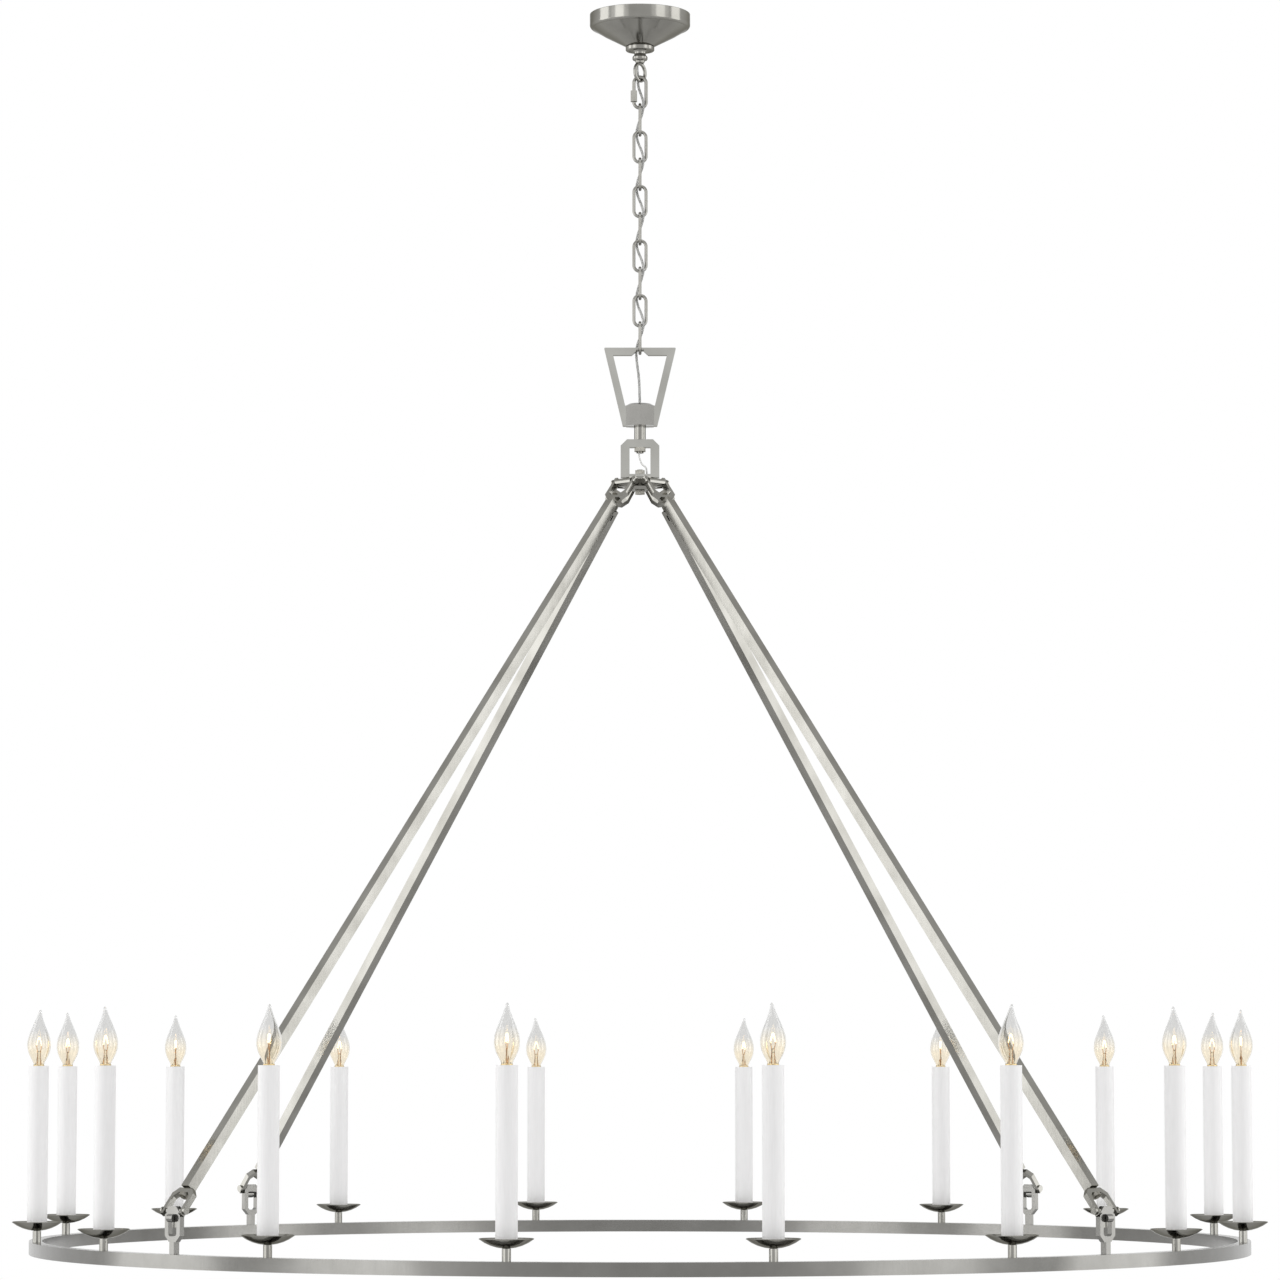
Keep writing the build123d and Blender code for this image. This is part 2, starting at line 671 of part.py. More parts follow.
def make_pin():
    """Hinge pin along Y, with a low round head at each end."""
    reach = yoke_inner_width() + 2 * YOKE_BAR_T
    body = Rot(90, 0, 0) * Cylinder(PIN_D / 2, reach)
    for side in (-1, 1):
        head = Rot(90, 0, 0) * Cylinder(PIN_HEAD_D / 2, PIN_HEAD_T)
        body += Pos(0, side * (reach + PIN_HEAD_T) / 2, 0) * head
    return body


def make_stud(tube_gap):
    """Threaded stud, the nut inside the yoke, and the plug inside the tube."""
    tube_end = -YOKE_LEN - tube_gap
    low = tube_end - STUD_IN_TUBE
    head_face = -YOKE_LEN + YOKE_CROSS
    stud = tube_body(STUD_D, 0, low, head_face + STUD_NUT_T + THREAD_PROUD)
    pieces = [stud, hex_body(STUD_NUT_AF, STUD_D, head_face, head_face + STUD_NUT_T)]
    if tube_gap > STUD_NUT_T:
        pieces.append(hex_body(STUD_NUT_AF, STUD_D, -YOKE_LEN - STUD_NUT_T, -YOKE_LEN))
    side = ROD_SIDE - 2 * ROD_WALL
    plug = Box(side, side, PLUG_T, align=HANGING)
    plug = Pos(0, 0, tube_end - PLUG_DEPTH) * plug
    pieces.append(plug - bore_body(STUD_D, low, tube_end))
    return pieces


ROD_HIGH_S = -YOKE_LEN - ROD_UPPER_GAP
ROD_LOW_S = -PIVOT_DISTANCE + YOKE_LEN + ROD_LOWER_GAP


def make_rod():
    """Square tube, open at both ends, with a wire slot near the top."""
    length = ROD_HIGH_S - ROD_LOW_S
    middle = (ROD_HIGH_S + ROD_LOW_S) / 2
    bore = ROD_SIDE - 2 * ROD_WALL
    body = Pos(0, 0, middle) * (Box(ROD_SIDE, ROD_SIDE, length) - Box(bore, bore, length + 2 * OVER))
    slot = Box(2 * (ROD_WALL + OVER), ROD_SLOT_W, ROD_SLOT_L)
    body -= Pos(-ROD_SIDE / 2, 0, ROD_HIGH_S - ROD_SLOT_FROM_END) * slot
    return body


# Ring and its loops

def make_ring():
    """Hollow square ring with wire holes under the stems and beside the posts."""
    outer = ring_box(RING_SIDE)
    body = outer - ring_box(RING_SIDE - 2 * RING_WALL)
    hole = bore_body(STEM_SPIGOT_D, RING_TOP_Z - RING_WALL - OVER, RING_TOP_Z + OVER)
    for angle in candle_angles():
        body -= Rot(0, 0, angle) * Pos(RING_R, 0, 0) * hole
    wire_hole = bore_body(RING_WIRE_HOLE_D, RING_TOP_Z - RING_WALL - OVER, RING_TOP_Z + OVER)
    for angle in rod_angles():
        body -= Rot(0, 0, angle) * Pos(RING_R, RLOOP_POST, 0) * wire_hole
    return body


def ring_box(side):
    """Solid square ring of one section size, centred in the ring's section."""
    middle = RING_TOP_Z - RING_SIDE / 2
    return turned([
        (RING_R - side / 2, middle - side / 2),
        (RING_R + side / 2, middle - side / 2),
        (RING_R + side / 2, middle + side / 2),
        (RING_R - side / 2, middle + side / 2),
    ])


def make_ring_loop():
    """Octagonal loop on its post, in a frame at the ring's top, X outwards."""
    outer = octagon(RLOOP_W, RLOOP_POST_H, RLOOP_TOP_H, RLOOP_CORNER, RLOOP_CORNER)
    body = slab(outer, Plane.YZ, RLOOP_DEPTH)
    window = octagon(
        RLOOP_W - 2 * RLOOP_BAR,
        RLOOP_POST_H + RLOOP_BOTTOM_BAR,
        RLOOP_TOP_H - RLOOP_TOP_BAR,
        RLOOP_WINDOW_LOW_CORNER,
        RLOOP_WINDOW_TOP_CORNER,
    )
    body -= slab(window, Plane.YZ, RLOOP_DEPTH + 2 * OVER)
    body += Box(RLOOP_POST, RLOOP_POST, RLOOP_POST_H, align=STANDING)
    boss = Rot(90, 0, 0) * Cylinder(BOSS_D / 2, BOSS_L)
    body += Pos(BOSS_OUT, 0, BOSS_H) * boss
    drill = Rot(90, 0, 0) * Cylinder(PIN_D / 2, RLOOP_W + 2 * OVER)
    body -= Pos(0, 0, RLOOP_PIVOT_H) * drill
    return body


def ring_top(angle):
    """Frame on the ring's top at an angle, X outwards."""
    return Rot(0, 0, angle) * Pos(RING_R, 0, RING_TOP_Z)


# Candles, in a frame at the ring's top

def candle_angles():
    """Directions of the candles."""
    return spread_angles(CANDLE_COUNT, CANDLE_START_ANGLE)


def pan_sphere_radius():
    """Radius of the spherical cap that the pan is pressed to."""
    half = PAN_D / 2
    return (half**2 + PAN_DEPTH**2) / (2 * PAN_DEPTH)


def pan_height(radius, skin):
    """Height of the pan's outer (skin 0) or inner (skin > 0) face at a radius."""
    sphere = pan_sphere_radius()
    centre = STEM_ROD_H + sphere
    return centre - sqrt((sphere - skin) ** 2 - radius**2)


PAN_FLOOR_H = STEM_ROD_H + PAN_SKIN


def make_stem():
    """Candle stem with a spigot into the ring and a nipple through the pan."""
    body = tube_body(STEM_ROD_D, 0, 0, STEM_ROD_H)
    body += tube_body(STEM_SPIGOT_D, 0, -STEM_SPIGOT_L, 0)
    body += tube_body(STEM_NIPPLE_D, 0, STEM_ROD_H, STEM_ROD_H + STEM_NIPPLE_L)
    body -= bore_body(STEM_BORE_D, -STEM_SPIGOT_L - OVER, STEM_ROD_H + STEM_NIPPLE_L + OVER)
    return body


def make_pan():
    """Drip pan: a spherical dish of even skin with a hole for the nipple."""
    rim = PAN_D / 2
    middle = rim / 2
    rim_point = (rim, pan_height(rim, 0))
    inner_rim = rim - PAN_RIM_LAND
    inner_rim_point = (inner_rim, pan_height(inner_rim, PAN_SKIN))
    under = (0, STEM_ROD_H)
    floor = (0, PAN_FLOOR_H)
    profile = ThreePointArc(under, (middle, pan_height(middle, 0)), rim_point)
    profile += Line(rim_point, inner_rim_point)
    profile += ThreePointArc(inner_rim_point, (middle, pan_height(middle, PAN_SKIN)), floor)
    profile += Line(floor, under)
    body = revolve(Plane.XZ * make_face(profile), Axis.Z)
    return body - bore_body(STEM_NIPPLE_D, STEM_ROD_H - OVER, PAN_FLOOR_H + OVER)


def make_socket():
    """Lamp socket on its strut, standing on the pan's floor round the nipple."""
    top = SLEEVE_TOP_H - SOCKET_RECESS
    cap_floor = lamp_cap_low() - LAMP_SEAT
    foot = pan_height(SOCKET_FOOT_D / 2, PAN_SKIN) + SLEEVE_LIFT
    body = tube_body(SOCKET_FOOT_D, 0, foot, foot + SOCKET_FOOT_T)
    body += tube_body(SOCKET_STRUT_D, 0, foot, top - SOCKET_L)
    body += tube_body(SOCKET_D, 0, top - SOCKET_L, top)
    nipple_top = STEM_ROD_H + STEM_NIPPLE_L
    body -= bore_body(STEM_NIPPLE_D, PAN_FLOOR_H - OVER, nipple_top + SOCKET_NIPPLE_ROOM)
    body -= bore_body(STEM_BORE_D, PAN_FLOOR_H, top - SOCKET_L + SOCKET_WIRE_BORE_H)
    body -= bore_body(LAMP_CAP_D + 2 * RUN, cap_floor, top + OVER)
    return body


def lamp_cap_low():
    """Height of the foot of the bulb's screw cap."""
    return SLEEVE_TOP_H - LAMP_CAP_L


def make_sleeve():
    """White candle sleeve, standing in the pan."""
    low = pan_height(SLEEVE_D / 2, PAN_SKIN) + SLEEVE_LIFT
    return tube_body(SLEEVE_D, SLEEVE_D - 2 * SLEEVE_SKIN, low, SLEEVE_TOP_H)


def lamp_outline(skin):
    """Flame outline from the neck to the tip, inset by the glass."""
    base = SLEEVE_TOP_H + LAMP_CAP_FLANGE_T
    neck = LAMP_NECK_D / 2 - skin
    wide = LAMP_D / 2 - skin
    widest_z = SLEEVE_TOP_H + LAMP_WIDEST_H
    tip_z = SLEEVE_TOP_H + LAMP_TIP_H
    if skin:
        tip_z -= LAMP_TIP_GLASS
    return Spline(
        (neck, base),
        (wide * LAMP_LOW_W, base + (widest_z - base) * LAMP_LOW_AT),
        (wide, widest_z),
        (wide * LAMP_HIGH_W, widest_z + (tip_z - widest_z) * LAMP_HIGH_AT),
        (0, tip_z),
        tangents=(LAMP_FOOT_LEAN, LAMP_TIP_LEAN),
    )


def make_bulb():
    """Flame bulb: screw cap, glass envelope, and filament on its support."""
    flange_low = SLEEVE_TOP_H
    base = SLEEVE_TOP_H + LAMP_CAP_FLANGE_T
    cap = tube_body(LAMP_CAP_D, 0, lamp_cap_low(), flange_low)
    cap += tube_body(LAMP_CAP_FLANGE_D, 0, flange_low, base)
    outer = lamp_outline(0)
    inner = lamp_outline(LAMP_GLASS)
    rim = Line(inner @ 0, outer @ 0)
    axis_line = Line(outer @ 1, inner @ 1)
    glass = revolve(Plane.XZ * make_face(Wire([outer, axis_line, inner, rim])), Axis.Z)
    support = tube_body(LAMP_STEM_D, 0, base, base + LAMP_STEM_H)
    support += tube_body(FILAMENT_D, 0, base + LAMP_STEM_H, base + LAMP_STEM_H + FILAMENT_L)
    return [cap, glass, support]


# Cord and wires

def cord_points():
    """Route of the supply cord: down the nipple, woven through the chain, to the hex."""
    side_x, side_y = cord_side_hole()
    eye_turn = radians(LOOP_TURN / 2 + 90)
    eye_x = CORD_EYE_REACH * cos(eye_turn)
    eye_y = CORD_EYE_REACH * sin(eye_turn)
    points = [
        (0, 0, CORD_TOP_Z),
        (0, 0, LOOP_BODY_TOP + CORD_BEND_H),
        (side_x, side_y, LOOP_CAVITY_BOTTOM),
        (side_x * CORD_NECK_OUT, side_y * CORD_NECK_OUT, LOOP_BEAD_Z - CORD_BELOW_BEAD),
        (eye_x, eye_y, EYE_WIRE_Z + CORD_HOLD),
        (eye_x, eye_y, EYE_WIRE_Z - CORD_HOLD),
    ]
    side = CORD_SIDE
    for height in PIVOT_Z[1:]:
        points.append((side, -side, height + CORD_LIFT + CORD_HOLD))
        points.append((side, -side, height + CORD_LIFT - CORD_HOLD))
        side = -side
    hand = side / CORD_SIDE
    behind_bar = HANGER_DEPTH / 2 + CORD_D / 2 + CORD_BAR_GAP
    under_bar = HANGER_TOP_Z - HANGER_TOP_BAR
    points += [
        (hand * CORD_BAR_SIDE, behind_bar, HANGER_TOP_Z + CORD_BAR_RUN),
        (hand * CORD_BAR_SIDE, behind_bar, under_bar - CORD_BAR_RUN),
        (hand * CORD_SWAY_X, CORD_SWAY_Y, under_bar - CORD_SWAY_DROP),
        (hand * CORD_ENTRY_X, 0, HANGER_BAR_TOP_Z + CORD_ENTRY_RISE),
        (0, 0, HANGER_BAR_TOP_Z - CORD_ENTRY_SINK),
        (0, CORD_END_Y, STEM_LOW_Z + CORD_END_RISE),
    ]
    return points


def corner_radii(points):
    """As large an arc at each point as its two runs allow."""
    radii = []
    for before, here, after in zip(points, points[1:], points[2:]):
        run_in = Vector(*here) - Vector(*before)
        run_out = Vector(*after) - Vector(*here)
        half_turn = radians(run_in.get_angle(run_out)) / 2
        shorter = min(run_in.length, run_out.length)
        radii.append(CORNER_SHARE * shorter / tan(half_turn))
    return radii


def swept_cord(points, diameter):
    """Round tube along straight runs joined by arcs."""
    radii = corner_radii(points)
    path = FilletPolyline(*points, radius=radii)
    section = Plane(origin=path @ 0, z_dir=path % 0) * Circle(diameter / 2)
    tube = sweep(section, path)
    expected = path.length * pi * (diameter / 2) ** 2
    print(f"cord length {path.length:.1f} volume {tube.volume:.1f} expected {expected:.1f} "
          f"least radius {min(radii):.1f}")
    return tube


def make_supply_cord():
    """Clear round cord, held by the chain all the way."""
    return swept_cord(cord_points(), CORD_D)


def make_stirrup_lead():
    """Lead from the pipe down to the cross plate's wire hole."""
    pipe_low = STEM_LOW_Z - STIRRUP_TOP_T - PIPE_BELOW
    plate_top = STIRRUP_LOW_Z + CROSS_PLATE_T
    return swept_cord([
        (LEAD_START_X, 0, pipe_low + LEAD_START_RISE),
        (LEAD_START_X, LEAD_BELLY_Y / 4, pipe_low - LEAD_BEND_DROP),
        (LEAD_BELLY_X, LEAD_BELLY_Y, pipe_low - LEAD_BELLY_DROP),
        (WIRE_HOLE_R + LEAD_START_X, LEAD_BELLY_Y / 4, plate_top + LEAD_END_RISE),
        (WIRE_HOLE_R, 0, plate_top - LEAD_END_SINK),
    ], LEAD_D)


def make_rod_lead():
    """Lead inside one rod, from the slot down to the lower plug."""
    wall_x = -ROD_SIDE / 2 + ROD_WALL + LEAD_D / 2
    high = ROD_HIGH_S - ROD_SLOT_FROM_END - PLUG_DEPTH - PLUG_T
    low = ROD_LOW_S + STUD_IN_TUBE + OVER
    return Pos(wall_x, 0, low) * Cylinder(LEAD_D / 2, high - low, align=STANDING)


def make_ring_wires():
    """Wire loop that lies on the floor of the hollow ring."""
    floor = RING_TOP_Z - RING_SIDE + RING_WALL
    section = Pos(RING_R, 0, floor + RING_WIRE_D / 2) * Rot(90, 0, 0) * Circle(RING_WIRE_D / 2)
    return revolve(section, Axis.Z)


def write(name, pieces):
    """Write one node from a solid or a list of solids."""
    if not isinstance(pieces, list):
        pieces = [pieces]
    solids = []
    for piece in pieces:
        solids += piece.solids()
    shape = solids[0] if len(solids) == 1 else Compound(children=solids)
    shape.label = name
    export_step(shape, f"parts/{name}.step")


def place(pieces, frames):
    """Copies of a piece, or of a list of pieces, at each frame."""
    if not isinstance(pieces, list):
        pieces = [pieces]
    copies = []
    for frame in frames:
        for piece in pieces:
            copies.append(frame * piece)
    return copies


def main():
    """Build and write every node."""
    write("ceiling_bracket", make_bracket())
    write("canopy_nipple", make_nipple())
    write("nipple_lock_nut", make_lock_nut())
    write("canopy", make_canopy())
    write("collar_nut", make_collar())
    write("canopy_loop", make_canopy_loop())
    write("quick_link", make_quick_link())
    write("quick_link_nut", make_quick_nut())
    for number in range(1, LINK_COUNT + 1):
        write(f"chain_link_{number}", make_chain_link(number))
    write("supply_cord", make_supply_cord())
    write("hanger_frame", make_hanger())
    write("hex_coupling", make_hex_coupling())
    write("stem_tube", make_stem_tube())
    write("stem_pipe", make_stem_pipe())
    write("stem_nut", make_stem_nut())
    write("stirrup", make_stirrup())
    write("hub_block", make_hub_block())
    write("hub_bolt", make_hub_bolt())

    angles = rod_angles()
    hub_frames = [rod_frame(angle) for angle in angles]
    ring_frames = [ring_end(angle) for angle in angles]
    yoke = make_yoke()
    pin = make_pin()
    rod = make_rod()
    write("upper_yokes", place(yoke, hub_frames))
    write("lower_yokes", place(yoke, ring_frames))
    write("hub_pins", place(pin, hub_frames))
    write("ring_pins", place(pin, ring_frames))
    write("upper_studs", place(make_stud(ROD_UPPER_GAP), hub_frames))
    write("lower_studs", place(make_stud(ROD_LOWER_GAP), ring_frames))
    for number, frame in enumerate(hub_frames, start=1):
        write(f"rod_{number}", frame * rod)
    write("ring", make_ring())
    write("ring_loops", place(make_ring_loop(), [ring_top(angle) for angle in angles]))
    write("lead_wires", [make_stirrup_lead()] + place(make_rod_lead(), hub_frames))
    write("ring_wires", make_ring_wires())

    candles = [ring_top(angle) for angle in candle_angles()]
    write("candle_stems", place(make_stem(), candles))
    write("drip_pans", place(make_pan(), candles))
    write("lamp_sockets", place(make_socket(), candles))
    write("candle_sleeves", place(make_sleeve(), candles))
    bulb = make_bulb()
    for number, frame in enumerate(candles, start=1):
        write(f"bulb_{number:02d}", place(bulb, [frame]))
    print(f"rod tilt {ROD_TILT:.2f} pivots {PIVOT_DISTANCE:.1f} hub z {HUB_PIVOT_Z:.1f}")
    print("chain pivots", [round(height, 1) for height in PIVOT_Z], round(LAST_WIRE_Z, 1))


main()
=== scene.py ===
"""Ring chandelier: polished nickel ring, rods and chain, white candle sleeves and clear flame bulbs."""

import json
import logging
from dataclasses import dataclass, field
from enum import Enum
from math import cos, pi, radians, sin, tau

import bpy
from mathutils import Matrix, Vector

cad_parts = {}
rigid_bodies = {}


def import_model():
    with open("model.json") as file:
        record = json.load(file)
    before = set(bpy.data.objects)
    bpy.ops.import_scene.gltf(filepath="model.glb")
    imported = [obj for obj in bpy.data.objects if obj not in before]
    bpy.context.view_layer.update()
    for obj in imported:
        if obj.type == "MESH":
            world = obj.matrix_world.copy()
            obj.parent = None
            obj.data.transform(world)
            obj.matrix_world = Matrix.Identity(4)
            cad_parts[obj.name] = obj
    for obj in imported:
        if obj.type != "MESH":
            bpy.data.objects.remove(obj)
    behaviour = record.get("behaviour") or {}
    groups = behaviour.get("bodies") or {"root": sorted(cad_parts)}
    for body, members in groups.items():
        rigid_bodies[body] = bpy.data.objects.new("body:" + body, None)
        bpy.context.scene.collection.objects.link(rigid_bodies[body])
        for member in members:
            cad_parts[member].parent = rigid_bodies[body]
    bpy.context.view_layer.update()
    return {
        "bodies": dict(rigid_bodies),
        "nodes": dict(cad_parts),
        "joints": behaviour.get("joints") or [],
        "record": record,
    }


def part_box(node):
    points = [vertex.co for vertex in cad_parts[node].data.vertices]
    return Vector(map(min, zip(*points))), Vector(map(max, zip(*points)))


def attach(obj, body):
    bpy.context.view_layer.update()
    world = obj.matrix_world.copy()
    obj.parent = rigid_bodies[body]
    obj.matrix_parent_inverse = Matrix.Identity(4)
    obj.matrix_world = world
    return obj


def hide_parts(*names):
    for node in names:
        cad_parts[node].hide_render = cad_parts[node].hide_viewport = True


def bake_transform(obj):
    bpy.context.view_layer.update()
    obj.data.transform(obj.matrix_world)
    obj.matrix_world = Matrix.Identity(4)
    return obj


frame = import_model()

log = logging.getLogger("ring_chandelier")

Point = tuple[float, float, float]
Profile = list[tuple[float, float]]

MM = 0.001


class Body(str, Enum):
    """The bodies that dressed pieces ride on."""

    MOUNT = "ceiling_mount"
    QUICK_LINK = "quick_link_body"
    FIXTURE = "fixture"


class Slot(str, Enum):
    """The record's material slots."""

    NICKEL = "nickel"
    STEEL = "plated_steel"
    SOCKET = "socket"
    SLEEVE = "sleeve"
    CORD = "clear_cord"
    WIRE = "wire"
    BULB = "bulb"


class NodeGraph:
    """A material's node tree with short calls for the nodes that the finishes share."""

    def __init__(self, name: str) -> None:
        """Start a material with a Principled shader.

        Args:
            name: The material's name.
        """
        self.material = bpy.data.materials.new(name)
        self.material.use_nodes = True
        self.nodes = self.material.node_tree.nodes
        self.links = self.material.node_tree.links
        self.shader = self.nodes["Principled BSDF"]
        self.output = self.nodes["Material Output"]

    def set(self, **values: object) -> None:
        """Set constants on the shader's sockets, spaces written as underscores.

        Args:
            values: Socket names and their values.
        """
        for socket, value in values.items():
            self.shader.inputs[socket.replace("_", " ")].default_value = value

    def coordinates(self, stretch: Point = (1.0, 1.0, 1.0)) -> bpy.types.NodeSocket:
        """Object coordinates in metres, stretched along each axis.

        Args:
            stretch: Factor for each axis.

        Returns:
            The vector socket.
        """
        place = self.nodes.new("ShaderNodeTexCoord")
        mapping = self.nodes.new("ShaderNodeMapping")
        mapping.inputs["Scale"].default_value = stretch
        self.links.new(place.outputs["Object"], mapping.inputs["Vector"])
        return mapping.outputs["Vector"]

    def noise(self, scale: float, detail: float = 3.0,
              stretch: Point = (1.0, 1.0, 1.0)) -> bpy.types.NodeSocket:
        """Noise in object space.

        Args:
            scale: Cells per metre.
            detail: Octaves.
            stretch: Factor for each axis.

        Returns:
            The factor socket.
        """
        node = self.nodes.new("ShaderNodeTexNoise")
        node.inputs["Scale"].default_value = scale
        node.inputs["Detail"].default_value = detail
        self.links.new(self.coordinates(stretch), node.inputs["Vector"])
        return node.outputs["Fac"]

    def spread(self, value: bpy.types.NodeSocket, low: float, high: float) -> bpy.types.NodeSocket:
        """Map the middle of a 0 to 1 value onto another range.

        Args:
            value: The socket to map.
            low: Result at 0.3.
            high: Result at 0.7.

        Returns:
            The mapped socket.
        """
        node = self.nodes.new("ShaderNodeMapRange")
        node.inputs["From Min"].default_value = 0.3
        node.inputs["From Max"].default_value = 0.7
        node.inputs["To Min"].default_value = low
        node.inputs["To Max"].default_value = high
        self.links.new(value, node.inputs["Value"])
        return node.outputs["Result"]

    def blend_colours(self, factor: bpy.types.NodeSocket, first: Point,
                      second: Point) -> bpy.types.NodeSocket:
        """Mix two colours.

        Args:
            factor: 0 gives the first, 1 the second.
            first: Linear red, green, blue.
            second: Linear red, green, blue.

        Returns:
            The colour socket.
        """
        ramp = self.nodes.new("ShaderNodeValToRGB")
        ramp.color_ramp.elements[0].position = 0.3
        ramp.color_ramp.elements[0].color = (*first, 1.0)
        ramp.color_ramp.elements[1].position = 0.7
        ramp.color_ramp.elements[1].color = (*second, 1.0)
        self.links.new(factor, ramp.inputs["Fac"])
        return ramp.outputs["Color"]

    def rise(self, top: float) -> bpy.types.NodeSocket:
        """Height above the object's origin as a share of a top height.

        Args:
            top: Height in metres where the result is 1.

        Returns:
            The factor socket.
        """
        split = self.nodes.new("ShaderNodeSeparateXYZ")
        node = self.nodes.new("ShaderNodeMapRange")
        node.inputs["From Max"].default_value = top
        self.links.new(self.coordinates(), split.inputs[0])
        self.links.new(split.outputs["Z"], node.inputs["Value"])
        return node.outputs["Result"]

    def bump(self, height: bpy.types.NodeSocket, strength: float, distance: float) -> None:
        """Drive the shader's normal from a height.

        Args:
            height: The height socket.
            strength: Bump strength.
            distance: Height of a full step, in metres.
        """
        node = self.nodes.new("ShaderNodeBump")
        node.inputs["Strength"].default_value = strength
        node.inputs["Distance"].default_value = distance
        self.links.new(height, node.inputs["Height"])
        self.links.new(node.outputs["Normal"], self.shader.inputs["Normal"])

    def feed(self, source: bpy.types.NodeSocket, socket: str) -> None:
        """Link a socket to one of the shader's inputs.

        Args:
            source: The socket to read.
            socket: The shader input's name.
        """
        self.links.new(source, self.shader.inputs[socket])


@dataclass(frozen=True)
class PolishedNickel:
    """Warm polished plate with a faint cloud of tone and hairline polishing marks."""

    name: str = "polished_nickel"
    bright: Point = (0.31, 0.305, 0.284)
    deep: Point = (0.235, 0.23, 0.211)
    edge: Point = (0.4, 0.395, 0.372)
    smooth: float = 0.1
    rough: float = 0.17
    marks: Point = (1.0, 1.0, 0.05)

    def make(self) -> bpy.types.Material:
        """Build the material.

        Returns:
            The finished material.
        """
        graph = NodeGraph(self.name)
        graph.set(Metallic=1.0, Specular_Tint=(*self.edge, 1.0))
        cloud = graph.noise(22.0, 4.0)
        graph.feed(graph.blend_colours(cloud, self.deep, self.bright), "Base Color")
        marks = graph.noise(1400.0, 2.0, self.marks)
        graph.feed(graph.spread(marks, self.smooth, self.rough), "Roughness")
        graph.bump(marks, 0.02, 0.02 * MM)
        return graph.material


@dataclass(frozen=True)
class PlatedSteel:
    """Duller zinc-plated hardware with a grey mottle."""

    name: str = "plated_steel"
    bright: Point = (0.28, 0.272, 0.245)
    deep: Point = (0.19, 0.184, 0.164)
    edge: Point = (0.5, 0.49, 0.45)

    def make(self) -> bpy.types.Material:
        """Build the material.

        Returns:
            The finished material.
        """
        graph = NodeGraph(self.name)
        graph.set(Metallic=1.0, Specular_Tint=(*self.edge, 1.0))
        mottle = graph.noise(260.0, 5.0)
        graph.feed(graph.blend_colours(mottle, self.deep, self.bright), "Base Color")
        graph.feed(graph.spread(mottle, 0.42, 0.24), "Roughness")
        graph.bump(graph.noise(2400.0, 2.0), 0.15, 0.05 * MM)
        return graph.material


@dataclass(frozen=True)
class SatinSleeve:
    """White candle sleeve of thin paper-like plastic with a soft vertical grain."""

    name: str = "sleeve_white"
    bright: Point = (0.83, 0.825, 0.825)
    shade: Point = (0.79, 0.785, 0.785)

    def make(self) -> bpy.types.Material:
        """Build the material.

        Returns:
            The finished material.
        """
        graph = NodeGraph(self.name)
        graph.set(IOR=1.45)
        grain = graph.noise(700.0, 3.0, (1.0, 1.0, 0.06))
        graph.feed(graph.blend_colours(grain, self.shade, self.bright), "Base Color")
        graph.feed(graph.spread(grain, 0.36, 0.46), "Roughness")
        graph.bump(grain, 0.12, 0.06 * MM)
        return graph.material


@dataclass(frozen=True)
class MouldedPlastic:
    """Moulded plastic with a fine texture."""

    name: str
    bright: Point
    shade: Point
    smooth: float = 0.35
    rough: float = 0.5

    def make(self) -> bpy.types.Material:
        """Build the material.

        Returns:
            The finished material.
        """
        graph = NodeGraph(self.name)
        texture = graph.noise(1100.0, 3.0)
        graph.feed(graph.blend_colours(texture, self.shade, self.bright), "Base Color")
        graph.feed(graph.spread(texture, self.smooth, self.rough), "Roughness")
        graph.bump(texture, 0.2, 0.05 * MM)
        return graph.material


@dataclass(frozen=True)
class ClearGlass:
    """Clear bulb glass with the slightest waviness, warmer where the filament lights it."""

    name: str = "bulb_glass"
    warm: Point = (0.93, 0.88, 0.78)
    tint: Point = (0.82, 0.82, 0.815)
    ior: float = 1.45
    glow_top: float = 60.0 * MM

    def make(self) -> bpy.types.Material:
        """Build the material.

        Returns:
            The finished material.
        """
        graph = NodeGraph(self.name)
        graph.set(Transmission_Weight=1.0, IOR=self.ior)
        wave = graph.noise(90.0, 1.0)
        graph.feed(graph.blend_colours(graph.rise(self.glow_top), self.warm, self.tint), "Base Color")
        graph.feed(graph.spread(wave, 0.0, 0.01), "Roughness")
        graph.bump(wave, 0.002, 0.1 * MM)
        return graph.material


@dataclass(frozen=True)
class ClearJacket:
    """Clear cord jacket: soft plastic with a milky cast."""

    name: str = "clear_jacket"

    def make(self) -> bpy.types.Material:
        """Build the material.

        Returns:
            The finished material.
        """
        graph = NodeGraph(self.name)
        graph.set(Transmission_Weight=0.6, IOR=1.3)
        haze = graph.noise(300.0, 2.0)
        graph.feed(graph.blend_colours(haze, (0.5, 0.5, 0.49), (0.7, 0.7, 0.69)), "Base Color")
        graph.feed(graph.spread(haze, 0.12, 0.24), "Roughness")
        graph.bump(haze, 0.1, 0.1 * MM)
        return graph.material


@dataclass(frozen=True)
class WireStrand:
    """Bare stranded conductor with a fine twist in its bump."""

    name: str
    bright: Point
    shade: Point

    def make(self) -> bpy.types.Material:
        """Build the material.

        Returns:
            The finished material.
        """
        graph = NodeGraph(self.name)
        graph.set(Metallic=1.0)
        twist = graph.noise(1500.0, 2.0, (1.0, 1.0, 0.4))
        graph.feed(graph.blend_colours(twist, self.shade, self.bright), "Base Color")
        graph.feed(graph.spread(twist, 0.25, 0.45), "Roughness")
        graph.bump(twist, 0.5, 0.1 * MM)
        return graph.material


